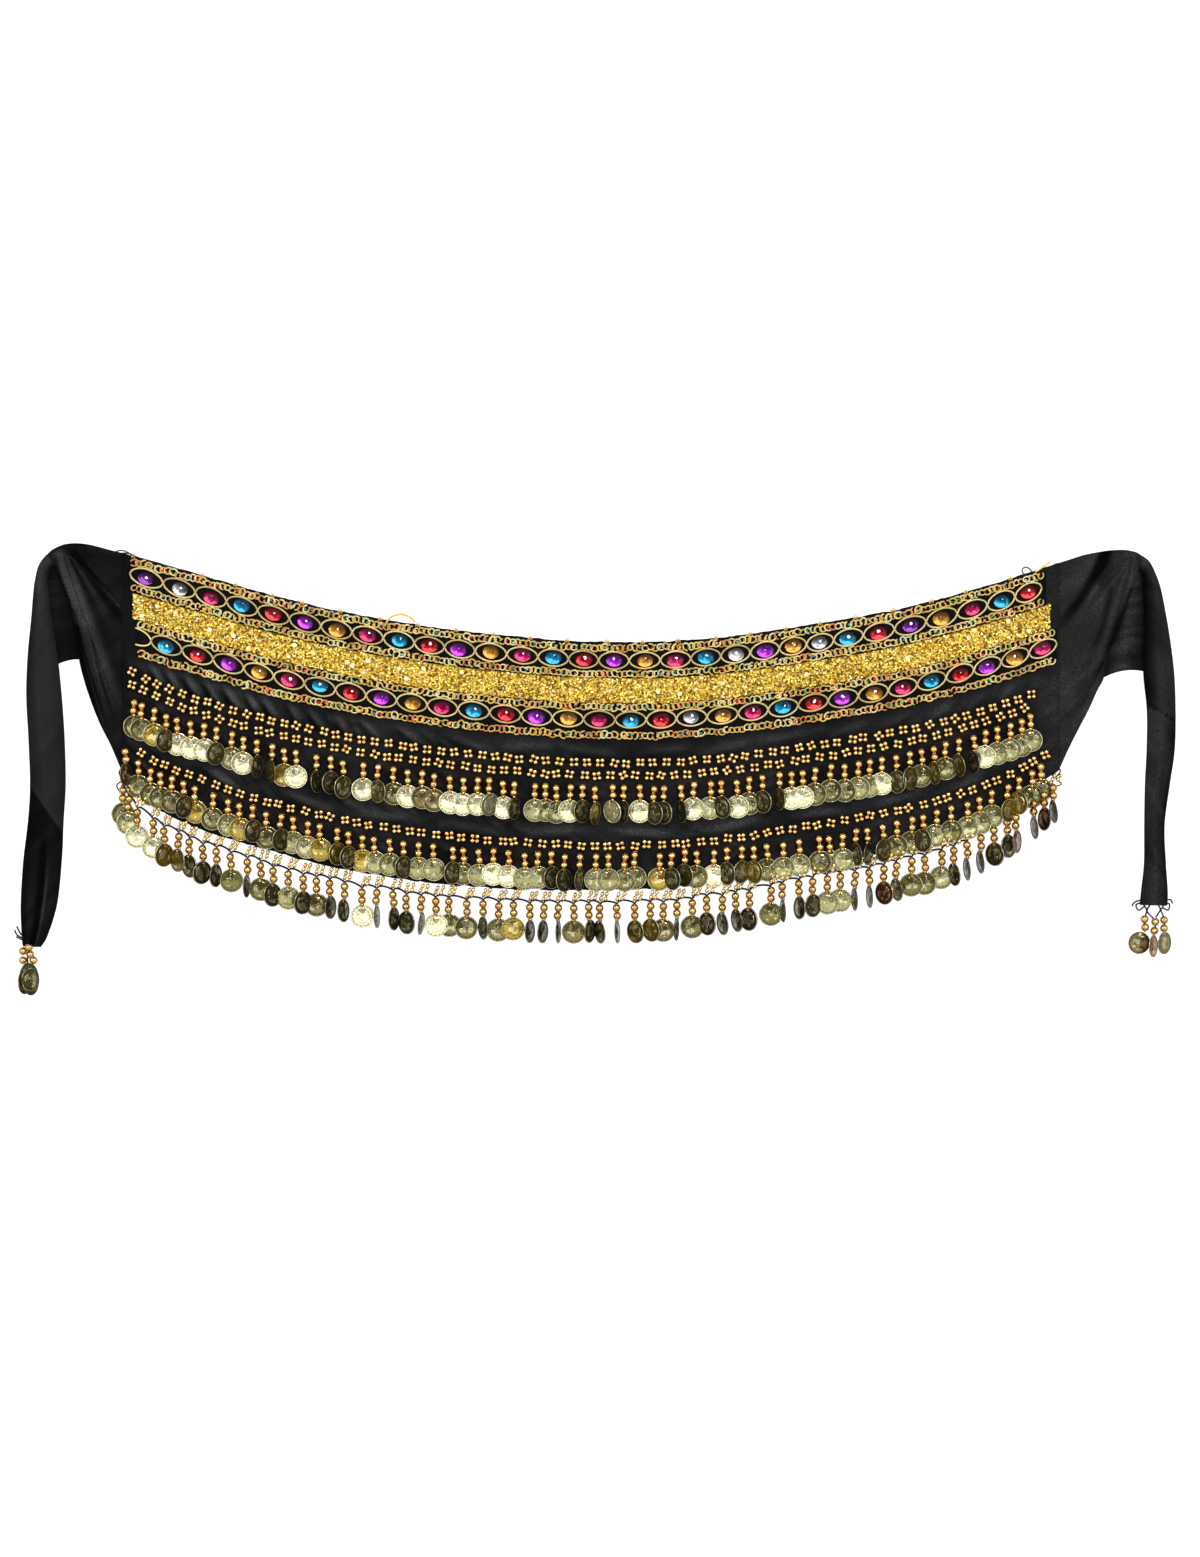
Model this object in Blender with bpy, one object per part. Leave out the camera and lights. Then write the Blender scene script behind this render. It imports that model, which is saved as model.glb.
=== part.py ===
"""Belly dance hip scarf, laid flat and face up with its ties folded down beside it.

The scarf is a crescent of velour with two gathered end panels and two ties. On the
crescent lie two jewelled trims, a sequin band, three rows of small beads and two coin
fringes, and a third coin fringe hangs from a beaded net below the hem.

Metres, +Z up. +X runs towards the right-hand tie and +Y from the hem to the waist edge.
The origin is on the surface that the scarf rests on, under the middle of its box.
All sizes below are in millimetres, and MM turns them into metres where a mesh is made.
"""

from typing import NamedTuple

import bmesh
import bpy

MM = 0.001

# Cloth and seams
CLOTH = 1.5  # thickness of the velour with its backing
GAP = 0.3  # clearance between two pieces that are sewn together
ON_CLOTH = CLOTH + GAP  # underside of whatever lies on the crescent

# The crescent
LEFT_SEAM = -428.0
RIGHT_SEAM = 415.0
HEM_DEPTH = 222.5  # waist edge to hem, at the middle
BELT_STEPS = 32  # stations along the crescent, which all that lies on it shares

# Depths below the waist edge, measured square to it
UPPER_TRIM = (2.7, 31.2)
SEQUIN_BAND = (32.4, 54.6)
LOWER_TRIM = (55.8, 86.8)
BEAD_ROWS = (108.5, 119.8, 183.0)  # middle of each row
BEAD_ROW_WIDTH = 9.0
UPPER_FRINGE = (127.5, 164.0)
MIDDLE_FRINGE = (188.6, 221.8)
HEM_FRINGE = (HEM_DEPTH + GAP, 270.0)

# Where the pieces on the crescent begin and end, across
UPPER_TRIM_ENDS = (-421.5, 402.5)
SEQUIN_ENDS = (-418.0, 406.5)
LOWER_TRIM_ENDS = (-415.0, 412.5)
BEAD_ROW_ENDS = ((-423.5, 394.0), (-423.5, 388.0), (-415.0, 406.5))
UPPER_FRINGE_ENDS = (-425.5, 399.0)
MIDDLE_FRINGE_ENDS = (-428.0, 402.5)
HEM_FRINGE_ENDS = (-430.0, 415.0)

# How far the pieces stand up
TRIM_HEIGHT = 2.6
SEQUIN_HEIGHT = 2.0
SMALL_BEAD = 4.0
LARGE_BEAD = 8.0
COIN_PILE = 4.0  # coins lying on each other like shingles
NET_HEIGHT = 3.2
NET_WIDTH = 11.0  # the net of slanted beads and thread below the hem
FRINGE_HEAD = 17.0  # two beads, one under the other
HEAD_SLOPE = (2.0, 3.0)  # how soon a fringe rises to its beads and falls to its coins

# End panels and ties
BACK_CLOTH = 1.3
PANEL_STEPS = 18  # sections along an end panel
PANEL_COLUMNS = 14  # points across a section
TIE_STEPS = 27
TIE_COLUMNS = 4
BACK_STEPS = 8
BACK_COLUMNS = 5
FOLD_POINTS = 12  # points that stand for one fold's crest
TIP_WIDTH = 0.35  # a fold's width at the gathered tip, as a share of its full width
CROSSED_FOLDS = 0.25  # how much of the lower of two crossing folds adds to the higher one
SEAM_EASE = 4.0  # folds reach their full height a quarter of the way from the seam


class Station(NamedTuple):
    """The crescent at one place: how high its waist edge lies, and the hem's drop below it."""

    across: float
    waist: float
    drop: float


class PanelSection(NamedTuple):
    """An end panel from its waist edge to its free edge, and how far it is lifted."""

    waist_x: float
    waist_y: float
    free_x: float
    free_y: float
    lift: float


class Fold(NamedTuple):
    """A fold's crest as a curve from the gathered tip, past its bend, to where it fades."""

    tip_x: float
    tip_y: float
    bend_x: float
    bend_y: float
    end_x: float
    end_y: float
    height: float
    half_width: float


class TieSection(NamedTuple):
    """A tie from its outer edge to its inner one, its lift and the rise of its middle."""

    outer_x: float
    outer_y: float
    inner_x: float
    inner_y: float
    lift: float
    crown: float


class BackSection(NamedTuple):
    """The back layer between panel and tie, and how far its line bows up in the middle."""

    left_x: float
    left_y: float
    right_x: float
    right_y: float
    bow: float


class TasselSection(NamedTuple):
    """A tie-end tassel at one height: its middle, half its width and how far it stands up."""

    y: float
    middle: float
    half: float
    rise: float


STATIONS = (
    Station(-430.0, 195.0, 196.0),
    Station(-410.0, 189.8, 216.0),
    Station(-360.0, 175.5, 227.5),
    Station(-270.0, 150.5, 230.0),
    Station(-180.0, 132.5, 230.5),
    Station(-90.0, 120.8, 227.0),
    Station(0.0, 114.5, HEM_DEPTH),
    Station(90.0, 116.5, 220.0),
    Station(180.0, 128.0, 216.5),
    Station(270.0, 143.8, 215.0),
    Station(350.0, 165.0, 209.0),
    Station(415.0, 185.7, 185.0),
)

LEFT_PANEL = (
    PanelSection(-428.3, 194.4, -428.3, -1.6, 0.0),
    PanelSection(-439.0, 197.0, -438.3, 22.0, 0.3),
    PanelSection(-450.0, 200.0, -447.3, 40.0, 1.0),
    PanelSection(-460.0, 202.2, -455.0, 59.0, 1.9),
    PanelSection(-470.0, 203.0, -461.7, 79.0, 2.0),
    PanelSection(-479.0, 202.2, -466.7, 99.5, 2.1),
    PanelSection(-484.3, 200.4, -467.1, 117.0, 2.3),
    PanelSection(-488.8, 198.2, -468.9, 138.0, 2.6),
    PanelSection(-492.3, 195.8, -475.2, 155.0, 3.0),
    PanelSection(-494.6, 193.1, -482.4, 175.1, 3.4),
)

RIGHT_PANEL = (
    PanelSection(415.3, 185.6, 415.3, 0.9, 0.0),
    PanelSection(424.8, 188.6, 423.2, 18.6, 0.3),
    PanelSection(436.5, 192.3, 433.5, 39.2, 1.0),
    PanelSection(448.2, 194.7, 441.9, 55.4, 1.9),
    PanelSection(459.0, 196.4, 449.1, 71.6, 2.0),
    PanelSection(468.0, 197.0, 454.9, 83.0, 2.1),
    PanelSection(474.3, 196.9, 457.0, 101.0, 2.2),
    PanelSection(478.8, 196.2, 467.0, 122.0, 2.4),
    PanelSection(482.4, 195.3, 472.8, 140.0, 2.6),
    PanelSection(485.6, 194.0, 478.4, 158.0, 3.0),
    PanelSection(487.8, 192.3, 484.0, 175.0, 3.4),
)

LEFT_FOLDS = (
    Fold(-485.0, 191.0, -477.0, 162.0, -462.0, 84.0, 4.6, 8.0),
    Fold(-481.5, 193.0, -462.5, 154.0, -441.0, 62.0, 4.4, 10.0),
    Fold(-468.0, 142.0, -457.0, 108.0, -436.0, 38.0, 2.6, 6.0),
    Fold(-479.0, 196.0, -456.0, 182.0, -430.0, 147.0, 4.2, 12.0),
    Fold(-477.0, 193.0, -455.0, 152.0, -434.0, 84.0, 2.6, 10.0),
)

RIGHT_FOLDS = (
    Fold(481.0, 190.0, 476.5, 156.0, 459.0, 106.0, 4.8, 8.0),
    Fold(474.0, 192.0, 450.0, 176.0, 418.0, 146.0, 4.0, 12.0),
    Fold(473.5, 184.0, 448.0, 148.0, 419.0, 106.0, 4.4, 13.0),
    Fold(476.0, 186.0, 462.0, 134.0, 424.0, 50.0, 3.2, 12.0),
    Fold(459.0, 104.0, 449.0, 84.0, 428.0, 40.0, 2.4, 6.0),
)

LEFT_TIE = (
    TieSection(-495.3, 193.1, -489.6, 184.6, 3.6, 1.0),
    TieSection(-502.0, 184.0, -493.6, 179.8, 3.2, 2.2),
    TieSection(-505.8, 170.6, -494.4, 168.8, 2.4, 3.0),
    TieSection(-507.7, 155.3, -493.3, 152.6, 1.8, 3.2),
    TieSection(-509.4, 134.6, -490.9, 132.8, 1.7, 3.0),
    TieSection(-512.4, 103.1, -486.5, 103.1, 1.9, 2.4),
    TieSection(-513.9, 67.1, -482.9, 67.1, 0.7, 2.2),
    TieSection(-512.0, 26.6, -480.3, 26.6, 0.0, 1.8),
    TieSection(-510.6, -13.9, -479.4, -13.9, 0.0, 1.6),
    TieSection(-512.4, -45.5, -481.2, -45.5, 0.0, 1.6),
    TieSection(-516.8, -83.3, -482.7, -79.7, 0.0, 2.0),
    TieSection(-519.0, -122.0, -486.9, -120.2, 0.0, 2.4),
    TieSection(-518.1, -149.0, -495.5, -149.0, 0.0, 3.2),
    TieSection(-517.3, -158.5, -501.3, -159.2, 0.0, 3.6),
)

RIGHT_TIE = (
    TieSection(488.4, 192.2, 486.2, 182.0, 3.6, 1.0),
    TieSection(495.4, 186.6, 488.6, 176.6, 3.2, 2.2),
    TieSection(500.8, 176.5, 490.0, 167.5, 2.4, 3.0),
    TieSection(505.6, 163.0, 490.9, 155.5, 1.8, 3.2),
    TieSection(510.0, 141.5, 491.4, 136.6, 1.7, 3.0),
    TieSection(514.4, 114.8, 491.2, 112.5, 1.8, 2.6),
    TieSection(517.9, 85.0, 490.8, 85.6, 1.7, 2.4),
    TieSection(519.3, 51.8, 494.2, 53.2, 0.0, 2.6),
    TieSection(518.5, 17.6, 494.1, 19.2, 0.0, 2.2),
    TieSection(514.0, -14.0, 492.5, -14.0, 0.0, 2.0),
    TieSection(509.4, -50.0, 491.9, -50.0, 0.0, 2.0),
    TieSection(510.5, -83.3, 491.7, -83.3, 0.0, 2.2),
    TieSection(512.2, -108.5, 489.3, -107.0, 0.0, 2.2),
    TieSection(512.0, -122.0, 487.8, -121.4, 0.0, 2.0),
)

LEFT_BACK = (
    BackSection(-493.0, 184.5, -486.0, 182.5, 0.0),
    BackSection(-497.0, 170.0, -477.0, 171.0, 0.0),
    BackSection(-498.5, 148.0, -466.0, 149.5, 0.0),
    BackSection(-497.0, 121.0, -461.0, 124.0, 1.5),
    BackSection(-494.0, 90.5, -459.0, 98.5, 4.0),
)

RIGHT_BACK = (
    BackSection(484.5, 184.5, 489.0, 184.0, 0.0),
    BackSection(475.0, 171.0, 493.5, 172.0, 0.0),
    BackSection(466.0, 148.5, 496.0, 150.0, 0.0),
    BackSection(457.0, 121.5, 497.0, 122.5, 2.0),
    BackSection(449.0, 79.5, 497.0, 87.0, 6.0),
)

LEFT_TASSEL = (
    TasselSection(-159.8, -510.0, 7.0, 8.0),
    TasselSection(-167.0, -512.2, 8.2, 8.0),
    TasselSection(-175.5, -512.0, 7.8, 8.0),
    TasselSection(-179.5, -511.3, 6.6, 6.0),
    TasselSection(-190.0, -511.2, 6.8, 6.0),
    TasselSection(-203.5, -510.6, 2.0, 5.0),
)

RIGHT_TASSEL = (
    TasselSection(-122.6, 500.0, 11.5, 3.0),
    TasselSection(-131.5, 500.0, 13.0, 8.0),
    TasselSection(-146.0, 498.8, 15.0, 8.0),
    TasselSection(-155.0, 495.8, 18.6, 6.0),
    TasselSection(-166.5, 495.5, 12.5, 5.0),
)


class Finish(NamedTuple):
    """A material's colour, roughness and metallic value."""

    colour: tuple
    roughness: float
    metallic: float


VELOUR = Finish((0.012, 0.011, 0.012), 0.75, 0.0)
SATIN = Finish((0.022, 0.019, 0.019), 0.5, 0.0)
GEM_TAPE = Finish((0.45, 0.28, 0.10), 0.4, 0.5)
SEQUINS = Finish((0.80, 0.52, 0.12), 0.25, 1.0)
GOLD_BEAD = Finish((0.85, 0.58, 0.20), 0.2, 1.0)
COIN_BRASS = Finish((0.55, 0.50, 0.26), 0.3, 1.0)


def smooth_at(places, values, x):
    """The value at x on a smooth curve through the given values at the given places."""
    last = len(places) - 1
    i = max(k for k in range(last) if k == 0 or places[k] <= x)

    def slope(k):
        low, high = max(k - 1, 0), min(k + 1, last)
        return (values[high] - values[low]) / (places[high] - places[low])

    width = places[i + 1] - places[i]
    t = (x - places[i]) / width
    start, end = slope(i) * width, slope(i + 1) * width
    rise = values[i + 1] - values[i]
    return values[i] + t * (start + t * (3 * rise - 2 * start - end + t * (start + end - 2 * rise)))


def section_at(table, share):
    """The row that a smooth curve through the table gives at this share of its length."""
    places = range(len(table))
    return type(table[0])(*(smooth_at(places, column, share * (len(table) - 1)) for column in zip(*table)))


def waist_height(x):
    """How far up the waist edge lies at x."""
    return smooth_at([s.across for s in STATIONS], [s.waist for s in STATIONS], x)


def belt_height(x, depth):
    """How far up a line at this depth below the waist edge lies at x.

    Near the waist, lines keep their distance square to the edge. Towards the hem they follow the
    hem, which rises at both ends of the crescent.
    """
    step = 1.0
    slope = (waist_height(x + step) - waist_height(x - step)) / (2 * step)
    square = (1 + slope * slope) ** 0.5
    hem = smooth_at([s.across for s in STATIONS], [s.drop for s in STATIONS], x) / HEM_DEPTH
    share = min(depth / HEM_DEPTH, 1.0) ** 2
    return waist_height(x) - depth * ((1 - share) * square + share * hem)


def steps(count):
    """Shares from 0 to 1, both included."""
    return [i / count for i in range(count + 1)]


def principled(name, finish):
    """A Principled material of this finish."""
    material = bpy.data.materials.new(name)
    material.use_nodes = True
    shader = material.node_tree.nodes["Principled BSDF"]
    shader.inputs["Base Color"].default_value = (*finish.colour, 1.0)
    shader.inputs["Roughness"].default_value = finish.roughness
    shader.inputs["Metallic"].default_value = finish.metallic
    material.diffuse_color = (*finish.colour, 1.0)
    return material


def solid(name, rings, finish, parent):
    """A closed solid through rings of points, each ring closed on itself, the end ones filled.

    Its origin is on the resting surface under the middle of its points.
    """
    points = [p for ring in rings for p in ring]
    middle = [(min(p[k] for p in points) + max(p[k] for p in points)) / 2 for k in (0, 1)]
    mesh = bmesh.new()
    made = [
        [mesh.verts.new(((x - middle[0]) * MM, (y - middle[1]) * MM, z * MM)) for x, y, z in ring]
        for ring in rings
    ]
    count = len(rings[0])
    for near, far in zip(made, made[1:]):
        for i in range(count):
            j = (i + 1) % count
            mesh.faces.new((near[i], near[j], far[j], far[i]))
    for ring in (made[0], made[-1]):
        for i in range(count // 2 - 1):
            mesh.faces.new((ring[i], ring[i + 1], ring[count - 2 - i], ring[count - 1 - i]))
    bmesh.ops.recalc_face_normals(mesh, faces=mesh.faces)
    data = bpy.data.meshes.new(name)
    mesh.to_mesh(data)
    mesh.free()
    data.materials.append(principled(name, finish))
    piece = bpy.data.objects.new(name, data)
    piece.location = (middle[0] * MM, middle[1] * MM, 0.0)
    piece.parent = parent
    bpy.context.scene.collection.objects.link(piece)
    return piece


def belt_stations(ends):
    """Places across the crescent from one end of a piece to the other.

    A piece also breaks where its neighbours end, so that their facets stay parallel.
    """
    even = [LEFT_SEAM + (RIGHT_SEAM - LEFT_SEAM) * share for share in steps(BELT_STEPS)]
    breaks = [UPPER_TRIM_ENDS, SEQUIN_ENDS, LOWER_TRIM_ENDS, *BEAD_ROW_ENDS]
    breaks += [UPPER_FRINGE_ENDS, MIDDLE_FRINGE_ENDS, HEM_FRINGE_ENDS]
    shared = {*even, *(x for pair in breaks for x in pair)}
    return sorted(x for x in shared if ends[0] <= x <= ends[1])


def along_belt(name, ends, profile, finish, parent):
    """A piece of the crescent: a profile of (depth, height) points carried from end to end."""
    rings = [[(x, belt_height(x, depth), z) for depth, z in profile] for x in belt_stations(ends)]
    return solid(name, rings, finish, parent)


def flat_profile(depths, low, high):
    """The profile of a flat strip between two depths."""
    return [(depths[0], low), (depths[1], low), (depths[1], high), (depths[0], high)]


def fringe_profile(depths, low):
    """The profile of a coin fringe: a bulge of beads along its head, then a pile of coins."""
    head, foot = depths
    over = (
        (head, low + LARGE_BEAD / 2),
        (head + HEAD_SLOPE[0], low + LARGE_BEAD),
        (head + FRINGE_HEAD, low + LARGE_BEAD),
        (head + FRINGE_HEAD + HEAD_SLOPE[1], low + COIN_PILE),
        (foot, low + COIN_PILE / 2),
    )
    return [(depth, low) for depth, _ in over] + list(reversed(over))


def build_crescent(parent):
    """The velour crescent that everything else is sewn to."""
    profile = flat_profile((0.0, HEM_DEPTH), 0.0, CLOTH)
    along_belt("main_panel", (LEFT_SEAM, RIGHT_SEAM), profile, VELOUR, parent)


def build_trims(parent):
    """Two jewelled tapes with the sequin band between them."""
    for name, ends, depths in (
        ("gem_trim_upper", UPPER_TRIM_ENDS, UPPER_TRIM),
        ("gem_trim_lower", LOWER_TRIM_ENDS, LOWER_TRIM),
    ):
        profile = flat_profile(depths, ON_CLOTH, ON_CLOTH + TRIM_HEIGHT)
        along_belt(name, ends, profile, GEM_TAPE, parent)
    profile = flat_profile(SEQUIN_BAND, ON_CLOTH, ON_CLOTH + SEQUIN_HEIGHT)
    along_belt("sequin_band", SEQUIN_ENDS, profile, SEQUINS, parent)


def build_bead_rows(parent):
    """Three rows of small beads, each a strip as wide and as high as its bead clusters."""
    for number, (depth, ends) in enumerate(zip(BEAD_ROWS, BEAD_ROW_ENDS), 1):
        depths = (depth - BEAD_ROW_WIDTH / 2, depth + BEAD_ROW_WIDTH / 2)
        profile = flat_profile(depths, ON_CLOTH, ON_CLOTH + SMALL_BEAD)
        along_belt(f"bead_row_{number}", ends, profile, GOLD_BEAD, parent)


def build_coin_fringes(parent):
    """Two coin fringes on the cloth, and the one below the hem with the net that holds it."""
    for name, ends, depths in (
        ("coin_fringe_upper", UPPER_FRINGE_ENDS, UPPER_FRINGE),
        ("coin_fringe_middle", MIDDLE_FRINGE_ENDS, MIDDLE_FRINGE),
    ):
        along_belt(name, ends, fringe_profile(depths, ON_CLOTH), COIN_BRASS, parent)
    net, foot = HEM_FRINGE
    head = net + NET_WIDTH
    over = (
        (net, NET_HEIGHT),
        (head, LARGE_BEAD),
        (head + FRINGE_HEAD, LARGE_BEAD),
        (foot, COIN_PILE),
    )
    profile = [(depth, 0.0) for depth, _ in over] + list(reversed(over))
    along_belt("coin_fringe_hem", HEM_FRINGE_ENDS, profile, COIN_BRASS, parent)


def fold_crest(fold, share):
    """A point on a fold's crest, at this share of the way from its tip."""
    a, b, c = (1 - share) ** 2, 2 * share * (1 - share), share**2
    x = a * fold.tip_x + b * fold.bend_x + c * fold.end_x
    return x, a * fold.tip_y + b * fold.bend_y + c * fold.end_y


def fold_rise(folds, x, y):
    """How far the folds lift the cloth at x, y: each is a soft ridge, narrow at its tip."""
    total = 0.0
    for fold in folds:
        rise = 0.0
        for share in steps(FOLD_POINTS):
            crest_x, crest_y = fold_crest(fold, share)
            reach = fold.half_width * (TIP_WIDTH + (1 - TIP_WIDTH) * share)
            away = ((x - crest_x) ** 2 + (y - crest_y) ** 2) / reach**2
            if away < 1:
                fade = 1 - share**3
                rise = max(rise, fold.height * fade * (1 - away) ** 2)
        total = max(total, rise) + CROSSED_FOLDS * min(total, rise)
    return total


def cloth_wall(name, grid, thickness, finish, parent):
    """A wall of cloth on a grid of underside points: its rings run round each section."""
    rings = [[*line, *((x, y, z + thickness) for x, y, z in reversed(line))] for line in grid]
    return solid(name, rings, finish, parent)


def build_end_panel(name, table, folds, parent):
    """An end panel, from the seam with the crescent to the gathered tip that the tie leaves."""
    grid = []
    for share in steps(PANEL_STEPS):
        section = section_at(table, share)
        line = []
        for across in steps(PANEL_COLUMNS):
            x = section.waist_x + (section.free_x - section.waist_x) * across
            y = section.waist_y + (section.free_y - section.waist_y) * across
            rise = fold_rise(folds, x, y) * min(share * SEAM_EASE, 1.0)
            line.append((x, y, max(section.lift, 0.0) + rise))
        grid.append(line)
    cloth_wall(name, grid, CLOTH, VELOUR, parent)


def build_tie(name, table, parent):
    """A tie, gathered where it leaves the end panel and again at its tassel."""
    grid = []
    for share in steps(TIE_STEPS):
        section = section_at(table, share)
        line = []
        for across in steps(TIE_COLUMNS):
            x = section.outer_x + (section.inner_x - section.outer_x) * across
            y = section.outer_y + (section.inner_y - section.outer_y) * across
            crown = section.crown * 4 * across * (1 - across)
            line.append((x, y, max(section.lift, 0.0) + crown))
        grid.append(line)
    cloth_wall(name, grid, CLOTH, SATIN, parent)


def build_back_layer(name, table, parent):
    """The back layer that shows between an end panel and its tie, flat on the surface."""
    grid = []
    for share in steps(BACK_STEPS):
        section = section_at(table, share)
        line = []
        for across in steps(BACK_COLUMNS):
            x = section.left_x + (section.right_x - section.left_x) * across
            y = section.left_y + (section.right_y - section.left_y) * across
            line.append((x, y + section.bow * 4 * across * (1 - across), 0.0))
        grid.append(line)
    cloth_wall(name, grid, BACK_CLOTH, VELOUR, parent)


def build_tassel(name, table, parent):
    """The beads and coins at the end of a tie, as one plain solid of their reach."""
    rings = []
    for row in table:
        left, right = row.middle - row.half, row.middle + row.half
        top = [(right, row.y, row.rise / 2), (row.middle, row.y, row.rise), (left, row.y, row.rise / 2)]
        rings.append([(left, row.y, 0.0), (row.middle, row.y, 0.0), (right, row.y, 0.0), *top])
    solid(name, rings, GOLD_BEAD, parent)


def build():
    """The whole scarf, in an empty scene."""
    for item in list(bpy.data.objects):
        bpy.data.objects.remove(item, do_unlink=True)
    scarf = bpy.data.objects.new("hip_scarf", None)
    bpy.context.scene.collection.objects.link(scarf)
    build_crescent(scarf)
    build_trims(scarf)
    build_bead_rows(scarf)
    build_coin_fringes(scarf)
    build_end_panel("end_panel_left", LEFT_PANEL, LEFT_FOLDS, scarf)
    build_end_panel("end_panel_right", RIGHT_PANEL, RIGHT_FOLDS, scarf)
    build_back_layer("back_layer_left", LEFT_BACK, scarf)
    build_back_layer("back_layer_right", RIGHT_BACK, scarf)
    build_tie("tie_left", LEFT_TIE, scarf)
    build_tie("tie_right", RIGHT_TIE, scarf)
    build_tassel("tassel_left", LEFT_TASSEL, scarf)
    build_tassel("tassel_right", RIGHT_TASSEL, scarf)


build()
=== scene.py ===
"""A belly dance hip scarf, laid flat and face up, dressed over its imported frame.

The scarf is a velour crescent with two gathered end panels and two ties. Two jewelled trims, a
sequin band, three rows of bead clusters and two coin fringes are sewn onto it, and a third
fringe hangs from a net of bugle beads below the hem.

Lengths are millimetres until a mesh is written, where MM turns them into metres. +X runs
towards the right-hand tie, +Y from the hem to the waist edge, and +Z up from the floor."""

import logging
from dataclasses import dataclass
from enum import Enum
from functools import cache
from math import copysign, cos, pi, radians, sin
from typing import ClassVar, Sequence

import bpy
import numpy as np
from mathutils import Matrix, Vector


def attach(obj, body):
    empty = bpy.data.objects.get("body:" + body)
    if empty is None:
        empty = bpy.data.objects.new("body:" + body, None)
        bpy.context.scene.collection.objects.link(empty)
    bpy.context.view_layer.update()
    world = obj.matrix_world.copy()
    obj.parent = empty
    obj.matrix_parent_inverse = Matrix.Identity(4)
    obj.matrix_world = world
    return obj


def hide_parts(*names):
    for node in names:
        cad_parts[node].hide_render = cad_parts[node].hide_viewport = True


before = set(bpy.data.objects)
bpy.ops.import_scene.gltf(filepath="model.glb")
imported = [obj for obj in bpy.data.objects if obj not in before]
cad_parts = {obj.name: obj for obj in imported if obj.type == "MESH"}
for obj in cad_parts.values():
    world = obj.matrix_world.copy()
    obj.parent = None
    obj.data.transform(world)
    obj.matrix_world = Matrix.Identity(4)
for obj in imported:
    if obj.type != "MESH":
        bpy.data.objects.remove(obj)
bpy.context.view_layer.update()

MM = 0.001
BODY = "root"
CLOTH = 1.5  # the velour with its backing
ON_CLOTH = 1.8  # underside of whatever is sewn onto the crescent
WHITE = (1.0, 1.0, 1.0)

log = logging.getLogger("hip_scarf")
seeded = np.random.default_rng

Array = np.ndarray
Amount = float | Sequence[float] | Array  # one number, or one for each point or copy
Colour = tuple[float, float, float]
Curve = tuple[tuple[float, ...], tuple[float, ...]]
Socket = bpy.types.NodeSocket
Feed = Socket | float | tuple[float, ...]  # what goes into a node's socket
Faces = list[tuple[int, ...]]
Span = tuple[float, float]
Piece = bpy.types.Object
Finish = bpy.types.Material


# ---- Small mesh tools ----


@dataclass(frozen=True)
class Shape:
    """A small mesh in millimetres: its points, the corners of its faces and their sizes."""

    points: Array
    corners: Array
    sizes: Array


def shape_of(points: Sequence[Sequence[float]] | Array, faces: Sequence[Sequence[int]]) -> Shape:
    """Makes a shape from points and faces.

    Args:
        points: The points, in millimetres.
        faces: Each face's points, by number.

    Returns:
        The shape.
    """
    corners = np.array([corner for face in faces for corner in face], dtype=np.int64)
    sizes = np.array([len(face) for face in faces], dtype=np.int64)
    return Shape(np.asarray(points, dtype=float), corners, sizes)


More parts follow.
